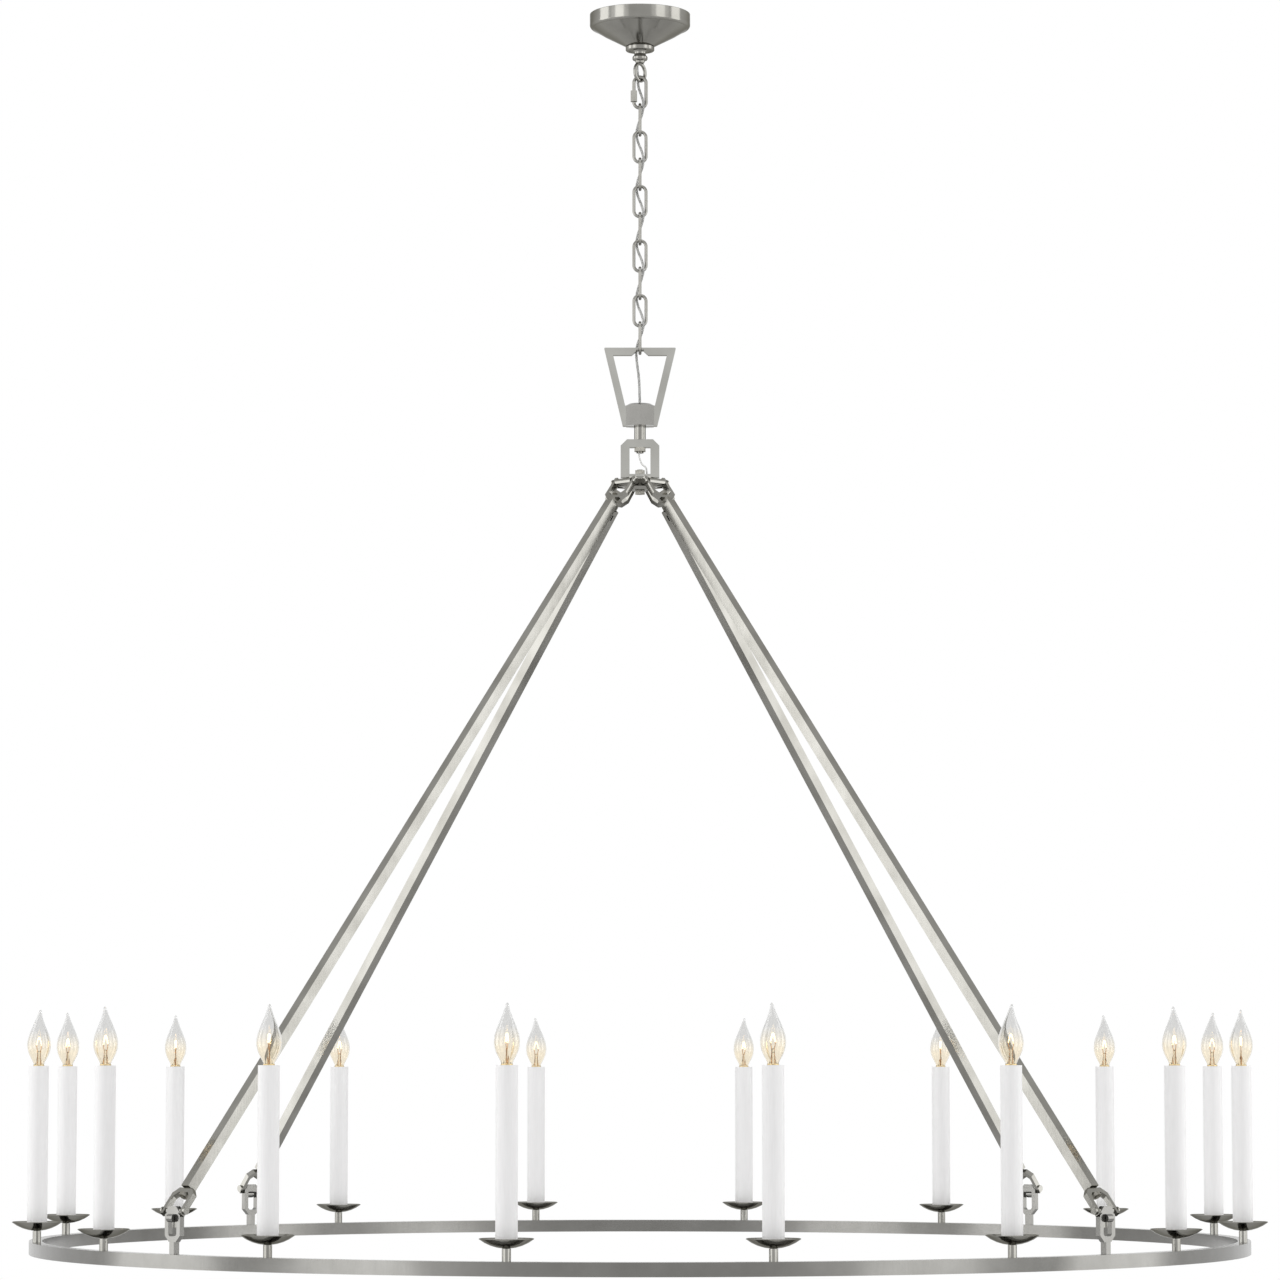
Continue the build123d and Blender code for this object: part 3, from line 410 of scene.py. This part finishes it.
@dataclass(frozen=True)
class GlowingFilament:
    """Hot tungsten coil with a random mottle of hotter and warmer glow."""

    name: str = "filament_glow"
    hot: Point = (1.0, 0.88, 0.6)
    warm: Point = (1.0, 0.66, 0.3)
    strength: float = 2.6

    def make(self) -> bpy.types.Material:
        """Build the material.

        Returns:
            The finished material.
        """
        graph = NodeGraph(self.name)
        graph.set(Emission_Strength=self.strength)
        turns = graph.noise(600.0, 2.0)
        glow = graph.blend_colours(turns, self.warm, self.hot)
        graph.feed(glow, "Emission Color")
        graph.feed(glow, "Base Color")
        graph.feed(graph.spread(turns, 0.5, 0.7), "Roughness")
        return graph.material


class Finishes:
    """Every finish of the chandelier, each made once."""

    def __init__(self) -> None:
        """Make the materials."""
        self.nickel = PolishedNickel().make()
        # Darker copy of the polished nickel for the ring, hex coupling and ring loops: painted shade, since
        # these are the same nickel plate as the rest.
        self.nickel_painted_shade = PolishedNickel(
            name="nickel_painted_shade", bright=(0.21, 0.207, 0.197), deep=(0.175, 0.172, 0.162),
            edge=(1.0, 1.0, 1.0), smooth=0.16, rough=0.24).make()
        # Paler copy of the polished nickel for the stirrup and hanger frame: painted highlight, since these
        # are the same nickel plate as the rest.
        self.nickel_painted_highlight = PolishedNickel(
            name="nickel_painted_highlight", bright=(0.45, 0.447, 0.421), deep=(0.38, 0.377, 0.353)).make()
        self.steel = PlatedSteel().make()
        self.sleeve = SatinSleeve().make()
        self.socket = MouldedPlastic("socket_cream", (0.84, 0.82, 0.74), (0.78, 0.76, 0.68)).make()
        self.wire = MouldedPlastic("wire_jacket", (0.86, 0.86, 0.84), (0.78, 0.78, 0.76)).make()
        self.glass = ClearGlass().make()
        self.jacket = ClearJacket().make()
        self.silver = WireStrand("silver_strand", (0.8, 0.8, 0.78), (0.5, 0.5, 0.48)).make()
        self.copper = WireStrand("copper_lead", (0.58, 0.33, 0.14), (0.34, 0.17, 0.07)).make()
        self.brass = WireStrand("cap_brass", (0.78, 0.62, 0.34), (0.6, 0.46, 0.24)).make()
        self.filament = GlowingFilament().make()


def smooth_through(points: Profile, steps: int) -> Profile:
    """Smooth curve through a few outline points.

    Args:
        points: Radius and height pairs.
        steps: Pieces between one point and the next.

    Returns:
        The denser outline.
    """
    ends = [points[0], *points, points[-1]]
    dense: Profile = []
    for before, start, stop, after in zip(ends, ends[1:], ends[2:], ends[3:]):
        for step in range(steps):
            t = step / steps
            pair = []
            for a, b, c, d in zip(before, start, stop, after):
                slope_in = (c - a) / 2
                slope_out = (d - b) / 2
                cubic = (2 * b - 2 * c + slope_in + slope_out) * t**3
                square = (3 * c - 3 * b - 2 * slope_in - slope_out) * t**2
                pair.append(cubic + square + slope_in * t + b)
            dense.append((max(pair[0], 0.0), pair[1]))
    dense.append(points[-1])
    return dense


def mesh_object(name: str, vertices: list[Point], faces: list[tuple[int, ...]], material: bpy.types.Material,
                smooth: bool = True) -> bpy.types.Object:
    """Make a mesh object in the scene.

    Args:
        name: The object's name.
        vertices: Points in metres.
        faces: Corner indices of each face.
        material: The finish.
        smooth: Shade smooth.

    Returns:
        The new object.
    """
    mesh = bpy.data.meshes.new(name)
    mesh.from_pydata(vertices, [], faces)
    mesh.polygons.foreach_set("use_smooth", [smooth] * len(mesh.polygons))
    mesh.materials.append(material)
    mesh.validate()
    mesh.update()
    made = bpy.data.objects.new(name, mesh)
    bpy.context.scene.collection.objects.link(made)
    return made


def lathe(name: str, outline: Profile, sides: int, material: bpy.types.Material) -> bpy.types.Object:
    """Turn an outline about the Z axis.

    Args:
        name: The object's name.
        outline: Radius and height pairs in metres; a zero radius closes the end.
        sides: Steps round the axis.
        material: The finish.

    Returns:
        The turned object.
    """
    vertices: list[Point] = []
    rings: list[list[int]] = []
    for radius, height in outline:
        count = sides if radius > 1e-6 else 1
        start = len(vertices)
        for side in range(count):
            angle = tau * side / sides
            vertices.append((radius * cos(angle), radius * sin(angle), height))
        rings.append([start + side % count for side in range(sides)])
    faces: list[tuple[int, ...]] = []
    for low, high in zip(rings, rings[1:]):
        for side in range(sides):
            after = (side + 1) % sides
            corners = [low[side], low[after], high[after], high[side]]
            face = tuple(dict.fromkeys(corners))
            if len(face) > 2:
                faces.append(face)
    return mesh_object(name, vertices, faces, material)


def tube_along(name: str, path: list[Vector], radius: float, sides: int,
               material: bpy.types.Material) -> bpy.types.Object:
    """Round tube with closed ends along points.

    Args:
        name: The object's name.
        path: Points in metres.
        radius: Tube radius in metres.
        sides: Sides of the section.
        material: The finish.

    Returns:
        The tube.
    """
    vertices: list[Point] = []
    across = Vector((1.0, 0.0, 0.0))
    last = len(path) - 1
    for index, point in enumerate(path):
        along = (path[min(index + 1, last)] - path[max(index - 1, 0)]).normalized()
        across = (across - along * across.dot(along)).normalized()
        other = along.cross(across)
        for side in range(sides):
            angle = tau * side / sides
            vertices.append(tuple(point + radius * (cos(angle) * across + sin(angle) * other)))
    faces: list[tuple[int, ...]] = []
    for ring in range(last):
        for side in range(sides):
            after = (side + 1) % sides
            low, high = ring * sides, (ring + 1) * sides
            faces.append((low + side, low + after, high + after, high + side))
    faces.append(tuple(reversed(range(sides))))
    faces.append(tuple(range(last * sides, (last + 1) * sides)))
    return mesh_object(name, vertices, faces, material)


@dataclass(frozen=True)
class SoftLamp:
    """One soft lamp: where it stands, its size, and how bright its face is beside the background's 1."""

    name: str
    place: Point
    width: float
    height: float
    radiance: float


@dataclass
class Studio:
    """Camera, soft lamps, pale floor and a white background."""

    camera_y: float = -5.903
    camera_z: float = -1.34
    focal_px: float = 4721.0
    frame_px: float = 1280.0
    sensor_mm: float = 36.0
    tilt: float = radians(5.244)
    far_clip: float = 100.0
    world_light: float = 0.6
    floor_z: float = -2.6
    floor_size: float = 16.0
    shadow_reach: float = 0.9
    lamp_aim_z: float = -0.3
    lamps: tuple[SoftLamp, ...] = (
        SoftLamp("lamp_left", (-4.2, 0.0, -0.3), 2.0, 3.8, 1.8),
        SoftLamp("lamp_right", (4.2, 0.0, -0.3), 2.0, 3.8, 1.65),
        SoftLamp("lamp_front_left", (-3.1, -2.8, -0.3), 1.6, 3.8, 1.3),
        SoftLamp("lamp_front_right", (3.1, -2.8, -0.3), 1.6, 3.8, 1.1),
        SoftLamp("lamp_wide_left", (-3.2, -2.9, -0.3), 3.4, 4.2, 0.4),
        SoftLamp("lamp_wide_right", (3.2, -2.9, -0.3), 3.4, 4.2, 0.4),
        SoftLamp("lamp_top", (0.0, -1.2, 2.8), 2.6, 2.6, 1.2),
    )

    def build(self) -> None:
        """Make the whole studio."""
        self.camera()
        self.world()
        for lamp in self.lamps:
            self.light(lamp)
        self.floor()
        bpy.context.scene.view_settings.view_transform = "Standard"

    def camera(self) -> None:
        """Camera at candle height that looks up a little, which matches the photograph's view."""
        data = bpy.data.cameras.new("camera")
        data.sensor_width = self.sensor_mm
        data.lens = self.focal_px / self.frame_px * data.sensor_width
        data.clip_end = self.far_clip
        camera = bpy.data.objects.new("camera", data)
        camera.location = (0.0, self.camera_y, self.camera_z)
        camera.rotation_euler = (pi / 2 + self.tilt, 0.0, 0.0)
        bpy.context.scene.collection.objects.link(camera)
        bpy.context.scene.camera = camera

    def white_seen(self, nodes: bpy.types.Nodes, links: bpy.types.NodeLinks) -> bpy.types.NodeSocket:
        """Factor that is 1 for what the camera sees, also in metal and through glass.

        Args:
            nodes: The tree's nodes.
            links: The tree's links.

        Returns:
            The factor socket.
        """
        path = nodes.new("ShaderNodeLightPath")
        first = nodes.new("ShaderNodeMath")
        first.operation = "MAXIMUM"
        second = nodes.new("ShaderNodeMath")
        second.operation = "MAXIMUM"
        links.new(path.outputs["Is Camera Ray"], first.inputs[0])
        links.new(path.outputs["Is Glossy Ray"], first.inputs[1])
        links.new(first.outputs[0], second.inputs[0])
        links.new(path.outputs["Is Transmission Ray"], second.inputs[1])
        return second.outputs[0]

    def world(self) -> None:
        """White background, with a plain level of light on the object."""
        world = bpy.data.worlds.new("studio_world")
        bpy.context.scene.world = world
        world.use_nodes = True
        nodes = world.node_tree.nodes
        links = world.node_tree.links
        nodes.clear()
        light = nodes.new("ShaderNodeBackground")
        light.inputs["Color"].default_value = (1.0, 1.0, 1.0, 1.0)
        light.inputs["Strength"].default_value = self.world_light
        white = nodes.new("ShaderNodeBackground")
        white.inputs["Color"].default_value = (1.0, 1.0, 1.0, 1.0)
        white.inputs["Strength"].default_value = 1.0
        mix = nodes.new("ShaderNodeMixShader")
        output = nodes.new("ShaderNodeOutputWorld")
        links.new(self.white_seen(nodes, links), mix.inputs["Fac"])
        links.new(light.outputs[0], mix.inputs[1])
        links.new(white.outputs[0], mix.inputs[2])
        links.new(mix.outputs[0], output.inputs["Surface"])

    def light(self, lamp: SoftLamp) -> None:
        """Place one soft lamp that faces the object's axis.

        Args:
            lamp: The lamp to make.
        """
        data = bpy.data.lights.new(lamp.name, "AREA")
        data.shape = "RECTANGLE"
        data.size = lamp.width
        data.size_y = lamp.height
        data.energy = lamp.radiance * pi * lamp.width * lamp.height
        holder = bpy.data.objects.new(lamp.name, data)
        holder.location = lamp.place
        aim = Vector((0.0, 0.0, self.lamp_aim_z)) - Vector(lamp.place)
        holder.rotation_euler = aim.to_track_quat("-Z", "Y").to_euler()
        bpy.context.scene.collection.objects.link(holder)

    def floor(self) -> None:
        """Pale floor below the ring that fades to the white background at its edge."""
        half = self.floor_size / 2
        corners = [(-half, -half, self.floor_z), (half, -half, self.floor_z),
                   (half, half, self.floor_z), (-half, half, self.floor_z)]
        graph = NodeGraph("pale_floor")
        graph.set(Roughness=0.8)
        grain = graph.noise(40.0, 3.0)
        graph.feed(graph.blend_colours(grain, (0.9, 0.9, 0.9), (0.93, 0.93, 0.93)), "Base Color")
        nodes, links = graph.nodes, graph.links
        glow = nodes.new("ShaderNodeEmission")
        glow.inputs["Color"].default_value = (1.0, 1.0, 1.0, 1.0)
        distance = nodes.new("ShaderNodeVectorMath")
        distance.operation = "LENGTH"
        links.new(graph.coordinates((1.0, 1.0, 0.0)), distance.inputs[0])
        fade = nodes.new("ShaderNodeMapRange")
        fade.interpolation_type = "SMOOTHSTEP"
        fade.inputs["From Min"].default_value = self.shadow_reach
        fade.inputs["From Max"].default_value = half * 0.5
        links.new(distance.outputs["Value"], fade.inputs["Value"])
        seen = nodes.new("ShaderNodeMath")
        seen.operation = "MULTIPLY"
        links.new(fade.outputs["Result"], seen.inputs[0])
        links.new(self.white_seen(nodes, links), seen.inputs[1])
        mix = nodes.new("ShaderNodeMixShader")
        links.new(seen.outputs[0], mix.inputs["Fac"])
        links.new(graph.shader.outputs[0], mix.inputs[1])
        links.new(glow.outputs[0], mix.inputs[2])
        links.new(mix.outputs[0], graph.output.inputs["Surface"])
        floor = mesh_object("floor", corners, [(0, 1, 2, 3)], graph.material)


@dataclass
class SupplyCord:
    """Clear cord woven through the chain, in one length about each pivot."""

    finishes: Finishes
    radius: float = 1.65 * MM
    strand_r: float = 0.55 * MM
    strand_offset: float = 0.7 * MM
    twist_pitch: float = 22.0 * MM
    bend_reach: float = 8.0 * MM
    jacket_sides: int = 14
    strand_sides: int = 8
    strand_count: int = 2
    route_mm: list[Point] = field(default_factory=lambda: [
        (0.0, 0.0, -8.0), (0.0, 0.0, -28.0), (-3.65, 2.55, -45.5), (-3.83, 2.68, -66.6),
        (-2.59, 4.97, -78.25), (-2.59, 4.97, -92.25), (4.35, -4.35, -111.45), (4.35, -4.35, -125.45),
        (-4.35, 4.35, -146.25), (-4.35, 4.35, -160.25), (4.35, -4.35, -181.2), (4.35, -4.35, -195.2),
        (-4.35, 4.35, -216.15), (-4.35, 4.35, -230.15), (4.35, -4.35, -251.1), (4.35, -4.35, -265.1),
        (-4.35, 4.35, -286.05), (-4.35, 4.35, -300.05), (4.35, -4.35, -321.0), (4.35, -4.35, -335.0),
        (-4.35, 4.35, -355.95), (-4.35, 4.35, -369.95), (4.35, -4.35, -390.9), (4.35, -4.35, -404.9),
        (-4.7, 7.3, -425.15), (-4.7, 7.3, -440.65), (-1.4, 1.2, -463.65), (-0.5, 0.0, -485.85),
        (0.0, 0.0, -505.85), (0.0, 0.1, -538.85),
    ])

    def chain_bodies(self) -> list[str]:
        """Bodies whose joints the cord passes, in the order that it passes them.

        Returns:
            The bodies' names from the top down.
        """
        links = sorted((name for name in frame["bodies"] if name.startswith("link_")),
                       key=lambda name: int(name.split("_")[1]))
        return [Body.MOUNT.value, Body.QUICK_LINK.value, links[-1], Body.FIXTURE.value]

    def pivots(self, bodies: list[str]) -> list[float]:
        """Heights of the joints between neighbouring bodies.

        Args:
            bodies: The bodies from the top down.

        Returns:
            One height for each pair.
        """
        heights = []
        for upper, lower in zip(bodies, bodies[1:]):
            joint = next(j for j in frame["joints"] if j["parent"] == upper and j["child"] == lower)
            heights.append(joint["pos_m"][2])
        return heights

    def centre_line(self) -> list[Vector]:
        """Points read from the route's smooth spline.

        Returns:
            Points in metres from the top down.
        """
        curve = bpy.data.curves.new("cord_route", "CURVE")
        curve.dimensions = "3D"
        curve.resolution_u = 10
        spline = curve.splines.new("NURBS")
        spline.points.add(len(self.route_mm) - 1)
        for point, (x, y, z) in zip(spline.points, self.route_mm):
            point.co = (x * MM, y * MM, z * MM, 1.0)
        spline.order_u = 3
        spline.use_endpoint_u = True
        holder = bpy.data.objects.new("cord_route", curve)
        bpy.context.scene.collection.objects.link(holder)
        bpy.context.view_layer.update()
        line = bpy.data.meshes.new_from_object(holder)
        points = [vertex.co.copy() for vertex in line.vertices]
        bpy.data.objects.remove(holder)
        bpy.data.meshes.remove(line)
        return points

    def strand(self, path: list[Vector], phase: float) -> list[Vector]:
        """One of the twisted conductors inside the jacket.

        Args:
            path: The cord's centre line.
            phase: Where round the cord it starts.

        Returns:
            The strand's own line.
        """
        turned = []
        for point in path:
            angle = phase + tau * point.z / self.twist_pitch
            turned.append(point + self.strand_offset * Vector((cos(angle), sin(angle), 0.0)))
        return turned

    def build(self) -> None:
        """Make the cord's lengths, each laid across its pivot."""
        bodies = self.chain_bodies()
        pivots = self.pivots(bodies)
        line = self.centre_line()
        cuts = [line[0].z, *[(a + b) / 2 for a, b in zip(pivots, pivots[1:])], line[-1].z]
        marks = [min(range(len(line)), key=lambda i, z=cut: abs(line[i].z - z)) for cut in cuts]
        for index, pivot in enumerate(pivots):
            stretch = line[marks[index]:marks[index + 1] + 1]
            jacket = tube_along(f"cord_jacket_{index + 1}", stretch, self.radius, self.jacket_sides,
                                self.finishes.jacket)
            strands = [
                tube_along(f"cord_strand_{index + 1}_{side + 1}",
                           self.strand(stretch, tau * side / self.strand_count),
                           self.strand_r, self.strand_sides, self.finishes.silver)
                for side in range(self.strand_count)
            ]
            for piece in (jacket, *strands):
                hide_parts("supply_cord")
                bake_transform(piece)
        log.info("supply cord in %d lengths", len(pivots))


@dataclass
class FrameDressing:
    """Finishes on the modelled nodes that keep their own shape."""

    finishes: Finishes

    def paint(self, names: list[str], material: bpy.types.Material) -> None:
        """Give nodes a finish.

        Args:
            names: Node names.
            material: The finish.
        """
        for name in names:
            for holder in frame["nodes"][name].material_slots:
                holder.material = material
        log.info("%s on %d nodes", material.name, len(names))

    def build(self) -> None:
        """Dress every node that stays."""
        record = frame["record"]
        by_slot: dict[str, list[str]] = {slot.value: [] for slot in Slot}
        for part in record["subparts"]:
            by_slot[part["material_slot"]].append(part["node"])
        self.paint(by_slot[Slot.NICKEL.value], self.finishes.nickel)
        # Painted shade: the darker nickel copy on the ring, hex coupling and ring loops.
        self.paint(["ring", "hex_coupling", "ring_loops"], self.finishes.nickel_painted_shade)
        # Painted highlight: the paler nickel copy on the stirrup and hanger frame.
        self.paint(["stirrup", "hanger_frame"], self.finishes.nickel_painted_highlight)
        self.paint(by_slot[Slot.STEEL.value], self.finishes.steel)
        self.paint(by_slot[Slot.SOCKET.value], self.finishes.socket)
        self.paint(by_slot[Slot.SLEEVE.value], self.finishes.sleeve)
        self.paint(by_slot[Slot.WIRE.value], self.finishes.wire)
        self.paint(by_slot[Slot.CORD.value], self.finishes.jacket)
        self.paint(by_slot[Slot.BULB.value], self.finishes.glass)


@dataclass
class FlameBulb:
    """Clear flame bulb with a bent tip, screw cap, glass pinch, leads and filament."""

    finishes: Finishes
    flange: float = 1.4 * MM
    cap_r: float = 5.95 * MM
    cap_length: float = 15.8 * MM
    thread_pitch: float = 2.4 * MM
    glass: float = 0.7 * MM
    tip_bend: float = 1.5 * MM
    tip_height: float = 68.0 * MM
    bend_from: float = 46.0 * MM
    foot_r: float = 2.4 * MM
    shoulder_r: float = 4.6 * MM
    shoulder_z: float = -14.2 * MM
    collar_r: float = 6.6 * MM
    thread_z: float = -13.4 * MM
    thread_depth: float = 0.7 * MM
    thread_turns: int = 5
    steps_per_turn: int = 6
    pinch_flat: float = 0.55
    lead_r: float = 0.42 * MM
    coil_half: float = 3.0 * MM
    coil_z: float = 24.8 * MM
    coil_rise: float = 9.0 * MM
    coil_r: float = 1.1 * MM
    coil_wire_r: float = 0.4 * MM
    coil_turns: int = 11
    steps_per_coil: int = 12
    outline_mm: Profile = field(default_factory=lambda: [
        (6.2, 1.4), (7.6, 5.0), (10.0, 9.5), (12.3, 14.5), (13.8, 20.0), (14.3, 25.5), (13.7, 31.5),
        (12.2, 37.0), (10.2, 42.5), (7.9, 48.0), (5.6, 53.5), (3.6, 59.0), (2.2, 63.5), (1.5, 66.5),
        (0.0, 68.0),
    ])

    def envelope(self, name: str) -> bpy.types.Object:
        """Glass shell with its inner face, its tip bent to one side.

        Args:
            name: The object's name.

        Returns:
            The envelope.
        """
        outer = [(r * MM, z * MM) for r, z in smooth_through(self.outline_mm, 4)]
        inner = [(max(r - self.glass, 0.0), z) for r, z in outer if z < self.tip_height - 4 * self.glass]
        inner[-1] = (0.0, inner[-1][1])
        shell = lathe(name, [*reversed(inner), *outer], 32, self.finishes.glass)
        for vertex in shell.data.vertices:
            lean = max(vertex.co.z - self.bend_from, 0.0) / (self.tip_height - self.bend_from)
            vertex.co.x += self.tip_bend * lean**2
        return shell

    def screw_cap(self, name: str) -> bpy.types.Object:
        """Brass screw cap with rounded threads and a foot contact.

        Args:
            name: The object's name.

        Returns:
            The cap.
        """
        outline: Profile = [(0.0, -self.cap_length), (self.foot_r, -self.cap_length),
                            (self.shoulder_r, self.shoulder_z)]
        for step in range(self.thread_turns * self.steps_per_turn + 1):
            turn = step / self.steps_per_turn
            wave = 0.5 + 0.5 * cos(tau * turn)
            outline.append((self.cap_r - self.thread_depth * wave, self.thread_z + turn * self.thread_pitch))
        outline += [(self.cap_r, -0.9 * MM), (self.collar_r, 0.0), (self.collar_r, self.flange),
                    (0.0, self.flange)]
        return lathe(name, outline, 28, self.finishes.brass)

    def pinch(self, name: str) -> bpy.types.Object:
        """Glass stem inside the neck that holds the leads.

        Args:
            name: The object's name.

        Returns:
            The pinch.
        """
        stem_mm: Profile = [(0.0, 1.5), (4.4, 1.5), (3.3, 6.0), (2.3, 11.0), (2.1, 16.0), (1.2, 18.0),
                            (0.0, 18.4)]
        made = lathe(name, [(r * MM, z * MM) for r, z in stem_mm], 20, self.finishes.glass)
        flat_from = 6.0 * MM
        for vertex in made.data.vertices:
            flat = max(min((vertex.co.z - flat_from) / flat_from, 1.0), 0.0)
            vertex.co.y *= 1.0 - self.pinch_flat * flat
        return made

    def lead(self, name: str, side: float) -> bpy.types.Object:
        """Copper lead from the neck to one end of the filament.

        Args:
            name: The object's name.
            side: Minus or plus one.

        Returns:
            The lead.
        """
        line_mm: Profile = [(1.6, 2.0), (1.5, 9.0), (1.8, 17.0), (2.7, 22.0), (3.0, 25.0)]
        path = [Vector((side * x * MM, 0.0, z * MM)) for x, z in smooth_through(line_mm, 4)]
        return tube_along(name, path, self.lead_r, 8, self.finishes.copper)

    def coil(self, name: str) -> bpy.types.Object:
        """Coiled filament arched between the two leads.

        Args:
            name: The object's name.

        Returns:
            The filament.
        """
        path = []
        steps = self.coil_turns * self.steps_per_coil
        for step in range(steps + 1):
            t = step / steps
            angle = tau * self.coil_turns * t
            across = self.coil_half * (2.0 * t - 1.0)
            centre = Vector((across, 0.0, self.coil_z + self.coil_rise * sin(pi * t)))
            path.append(centre + self.coil_r * Vector((0.0, cos(angle), sin(angle))))
        return tube_along(name, path, self.coil_wire_r, 6, self.finishes.filament)


@dataclass
class CandleLights:
    """The ring's candle lights: a bulb over each sleeve."""

    finishes: Finishes
    sleeve_top: float = 213.0 * MM
    turn_step: float = radians(137.5)

    def place(self, made: bpy.types.Object, centre: Vector, turn: float) -> None:
        """Stand a bulb piece on its sleeve.

        Args:
            made: The piece, made about the Z axis.
            centre: The bulb seat's centre.
            turn: Rotation about Z.
        """
        made.location = centre
        made.rotation_euler = (0.0, 0.0, turn)

    def copy(self, source: bpy.types.Object, name: str) -> bpy.types.Object:
        """Another object with the same mesh.

        Args:
            source: The object to copy.
            name: The copy's name.

        Returns:
            The copy.
        """
        made = bpy.data.objects.new(name, source.data)
        bpy.context.scene.collection.objects.link(made)
        return made

    def build(self) -> None:
        """Make each bulb's pieces and seat them where the modelled bulb is."""
        bulb = FlameBulb(self.finishes)
        patterns = {
            "envelope": bulb.envelope("pattern_envelope"),
            "cap": bulb.screw_cap("pattern_cap"),
            "pinch": bulb.pinch("pattern_pinch"),
            "lead_a": bulb.lead("pattern_lead_a", -1.0),
            "lead_b": bulb.lead("pattern_lead_b", 1.0),
            "filament": bulb.coil("pattern_filament"),
        }
        nodes = sorted(name for name in frame["nodes"] if name.startswith("bulb_"))
        ring_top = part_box("ring")[1][2]
        for index, node in enumerate(nodes):
            low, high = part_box(node)
            centre = Vector(((low[0] + high[0]) / 2, (low[1] + high[1]) / 2, ring_top + self.sleeve_top))
            for kind, pattern in patterns.items():
                piece = self.copy(pattern, f"{node}_{kind}")
                self.place(piece, centre, self.turn_step * index)
                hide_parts(node)
                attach(piece, f"{node}_body")
        for pattern in patterns.values():
            bpy.data.objects.remove(pattern)
        log.info("%d flame bulbs", len(nodes))


@dataclass
class ChainDetails:
    """Weld beads on the links, and the threads beside the quick link's nut."""

    finishes: Finishes
    link_width: float = 19.3 * MM
    wire_r: float = 1.95 * MM
    bead_half: float = 1.5 * MM
    bead_rise: float = 0.16 * MM
    bead_sunk: float = 0.02 * MM
    bead_steps: int = 8
    quick_wire_r: float = 2.1 * MM
    ridge: float = 0.04 * MM
    ridge_step: float = 0.35 * MM
    ridge_steps: int = 18
    thread_sunk: float = 0.01 * MM
    sides: int = 24

    def weld_bead(self, number: int) -> bpy.types.Object:
        """Rounded weld round the middle of one leg.

        Args:
            number: The link's number.

        Returns:
            The bead.
        """
        low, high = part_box(f"chain_link_{number}")
        middle = (low[2] + high[2]) / 2
        outline: Profile = []
        for step in range(self.bead_steps + 1):
            t = 2.0 * step / self.bead_steps - 1.0
            rise = self.bead_rise * (1.0 - t * t)
            outline.append((self.wire_r + rise - self.bead_sunk, t * self.bead_half))
        bead = lathe(f"weld_bead_{number}", outline, self.sides, self.finishes.nickel)
        leg = self.link_width / 2 - self.wire_r
        bead.location = (0.0, -leg, middle) if number % 2 else (leg, 0.0, middle)
        return bead

    def quick_link_thread(self) -> bpy.types.Object:
        """Cut thread on the leg above the nut.

        Returns:
            The thread.
        """
        low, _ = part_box("quick_link")
        _, nut_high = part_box("quick_link_nut")
        sunk_r = self.quick_wire_r - self.thread_sunk
        outline: Profile = [(sunk_r, 0.0)]
        for step in range(1, self.ridge_steps):
            ridge = self.ridge if step % 2 else 0.0
            outline.append((self.quick_wire_r + ridge, step * self.ridge_step))
        outline.append((sunk_r, self.ridge_steps * self.ridge_step))
        thread = lathe("quick_link_thread", outline, self.sides, self.finishes.nickel)
        thread.location = (low[0] + self.quick_wire_r, 0.0, nut_high[2])
        return thread

    def build(self) -> None:
        """Make the beads and the thread."""
        count = sum(1 for name in frame["nodes"] if name.startswith("chain_link_"))
        for number in range(1, count + 1):
            bead = self.weld_bead(number)
            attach(bead, f"link_{number}")
        thread = self.quick_link_thread()
        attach(thread, Body.QUICK_LINK.value)
        log.info("%d weld beads and a thread", count)


def main() -> None:
    """Build the scene in order."""
    logging.basicConfig(level=logging.INFO, format="%(name)s: %(message)s")
    Studio().build()
    finishes = Finishes()
    SupplyCord(finishes).build()
    FrameDressing(finishes).build()
    ChainDetails(finishes).build()
    CandleLights(finishes).build()


if __name__ == "__main__":
    main()
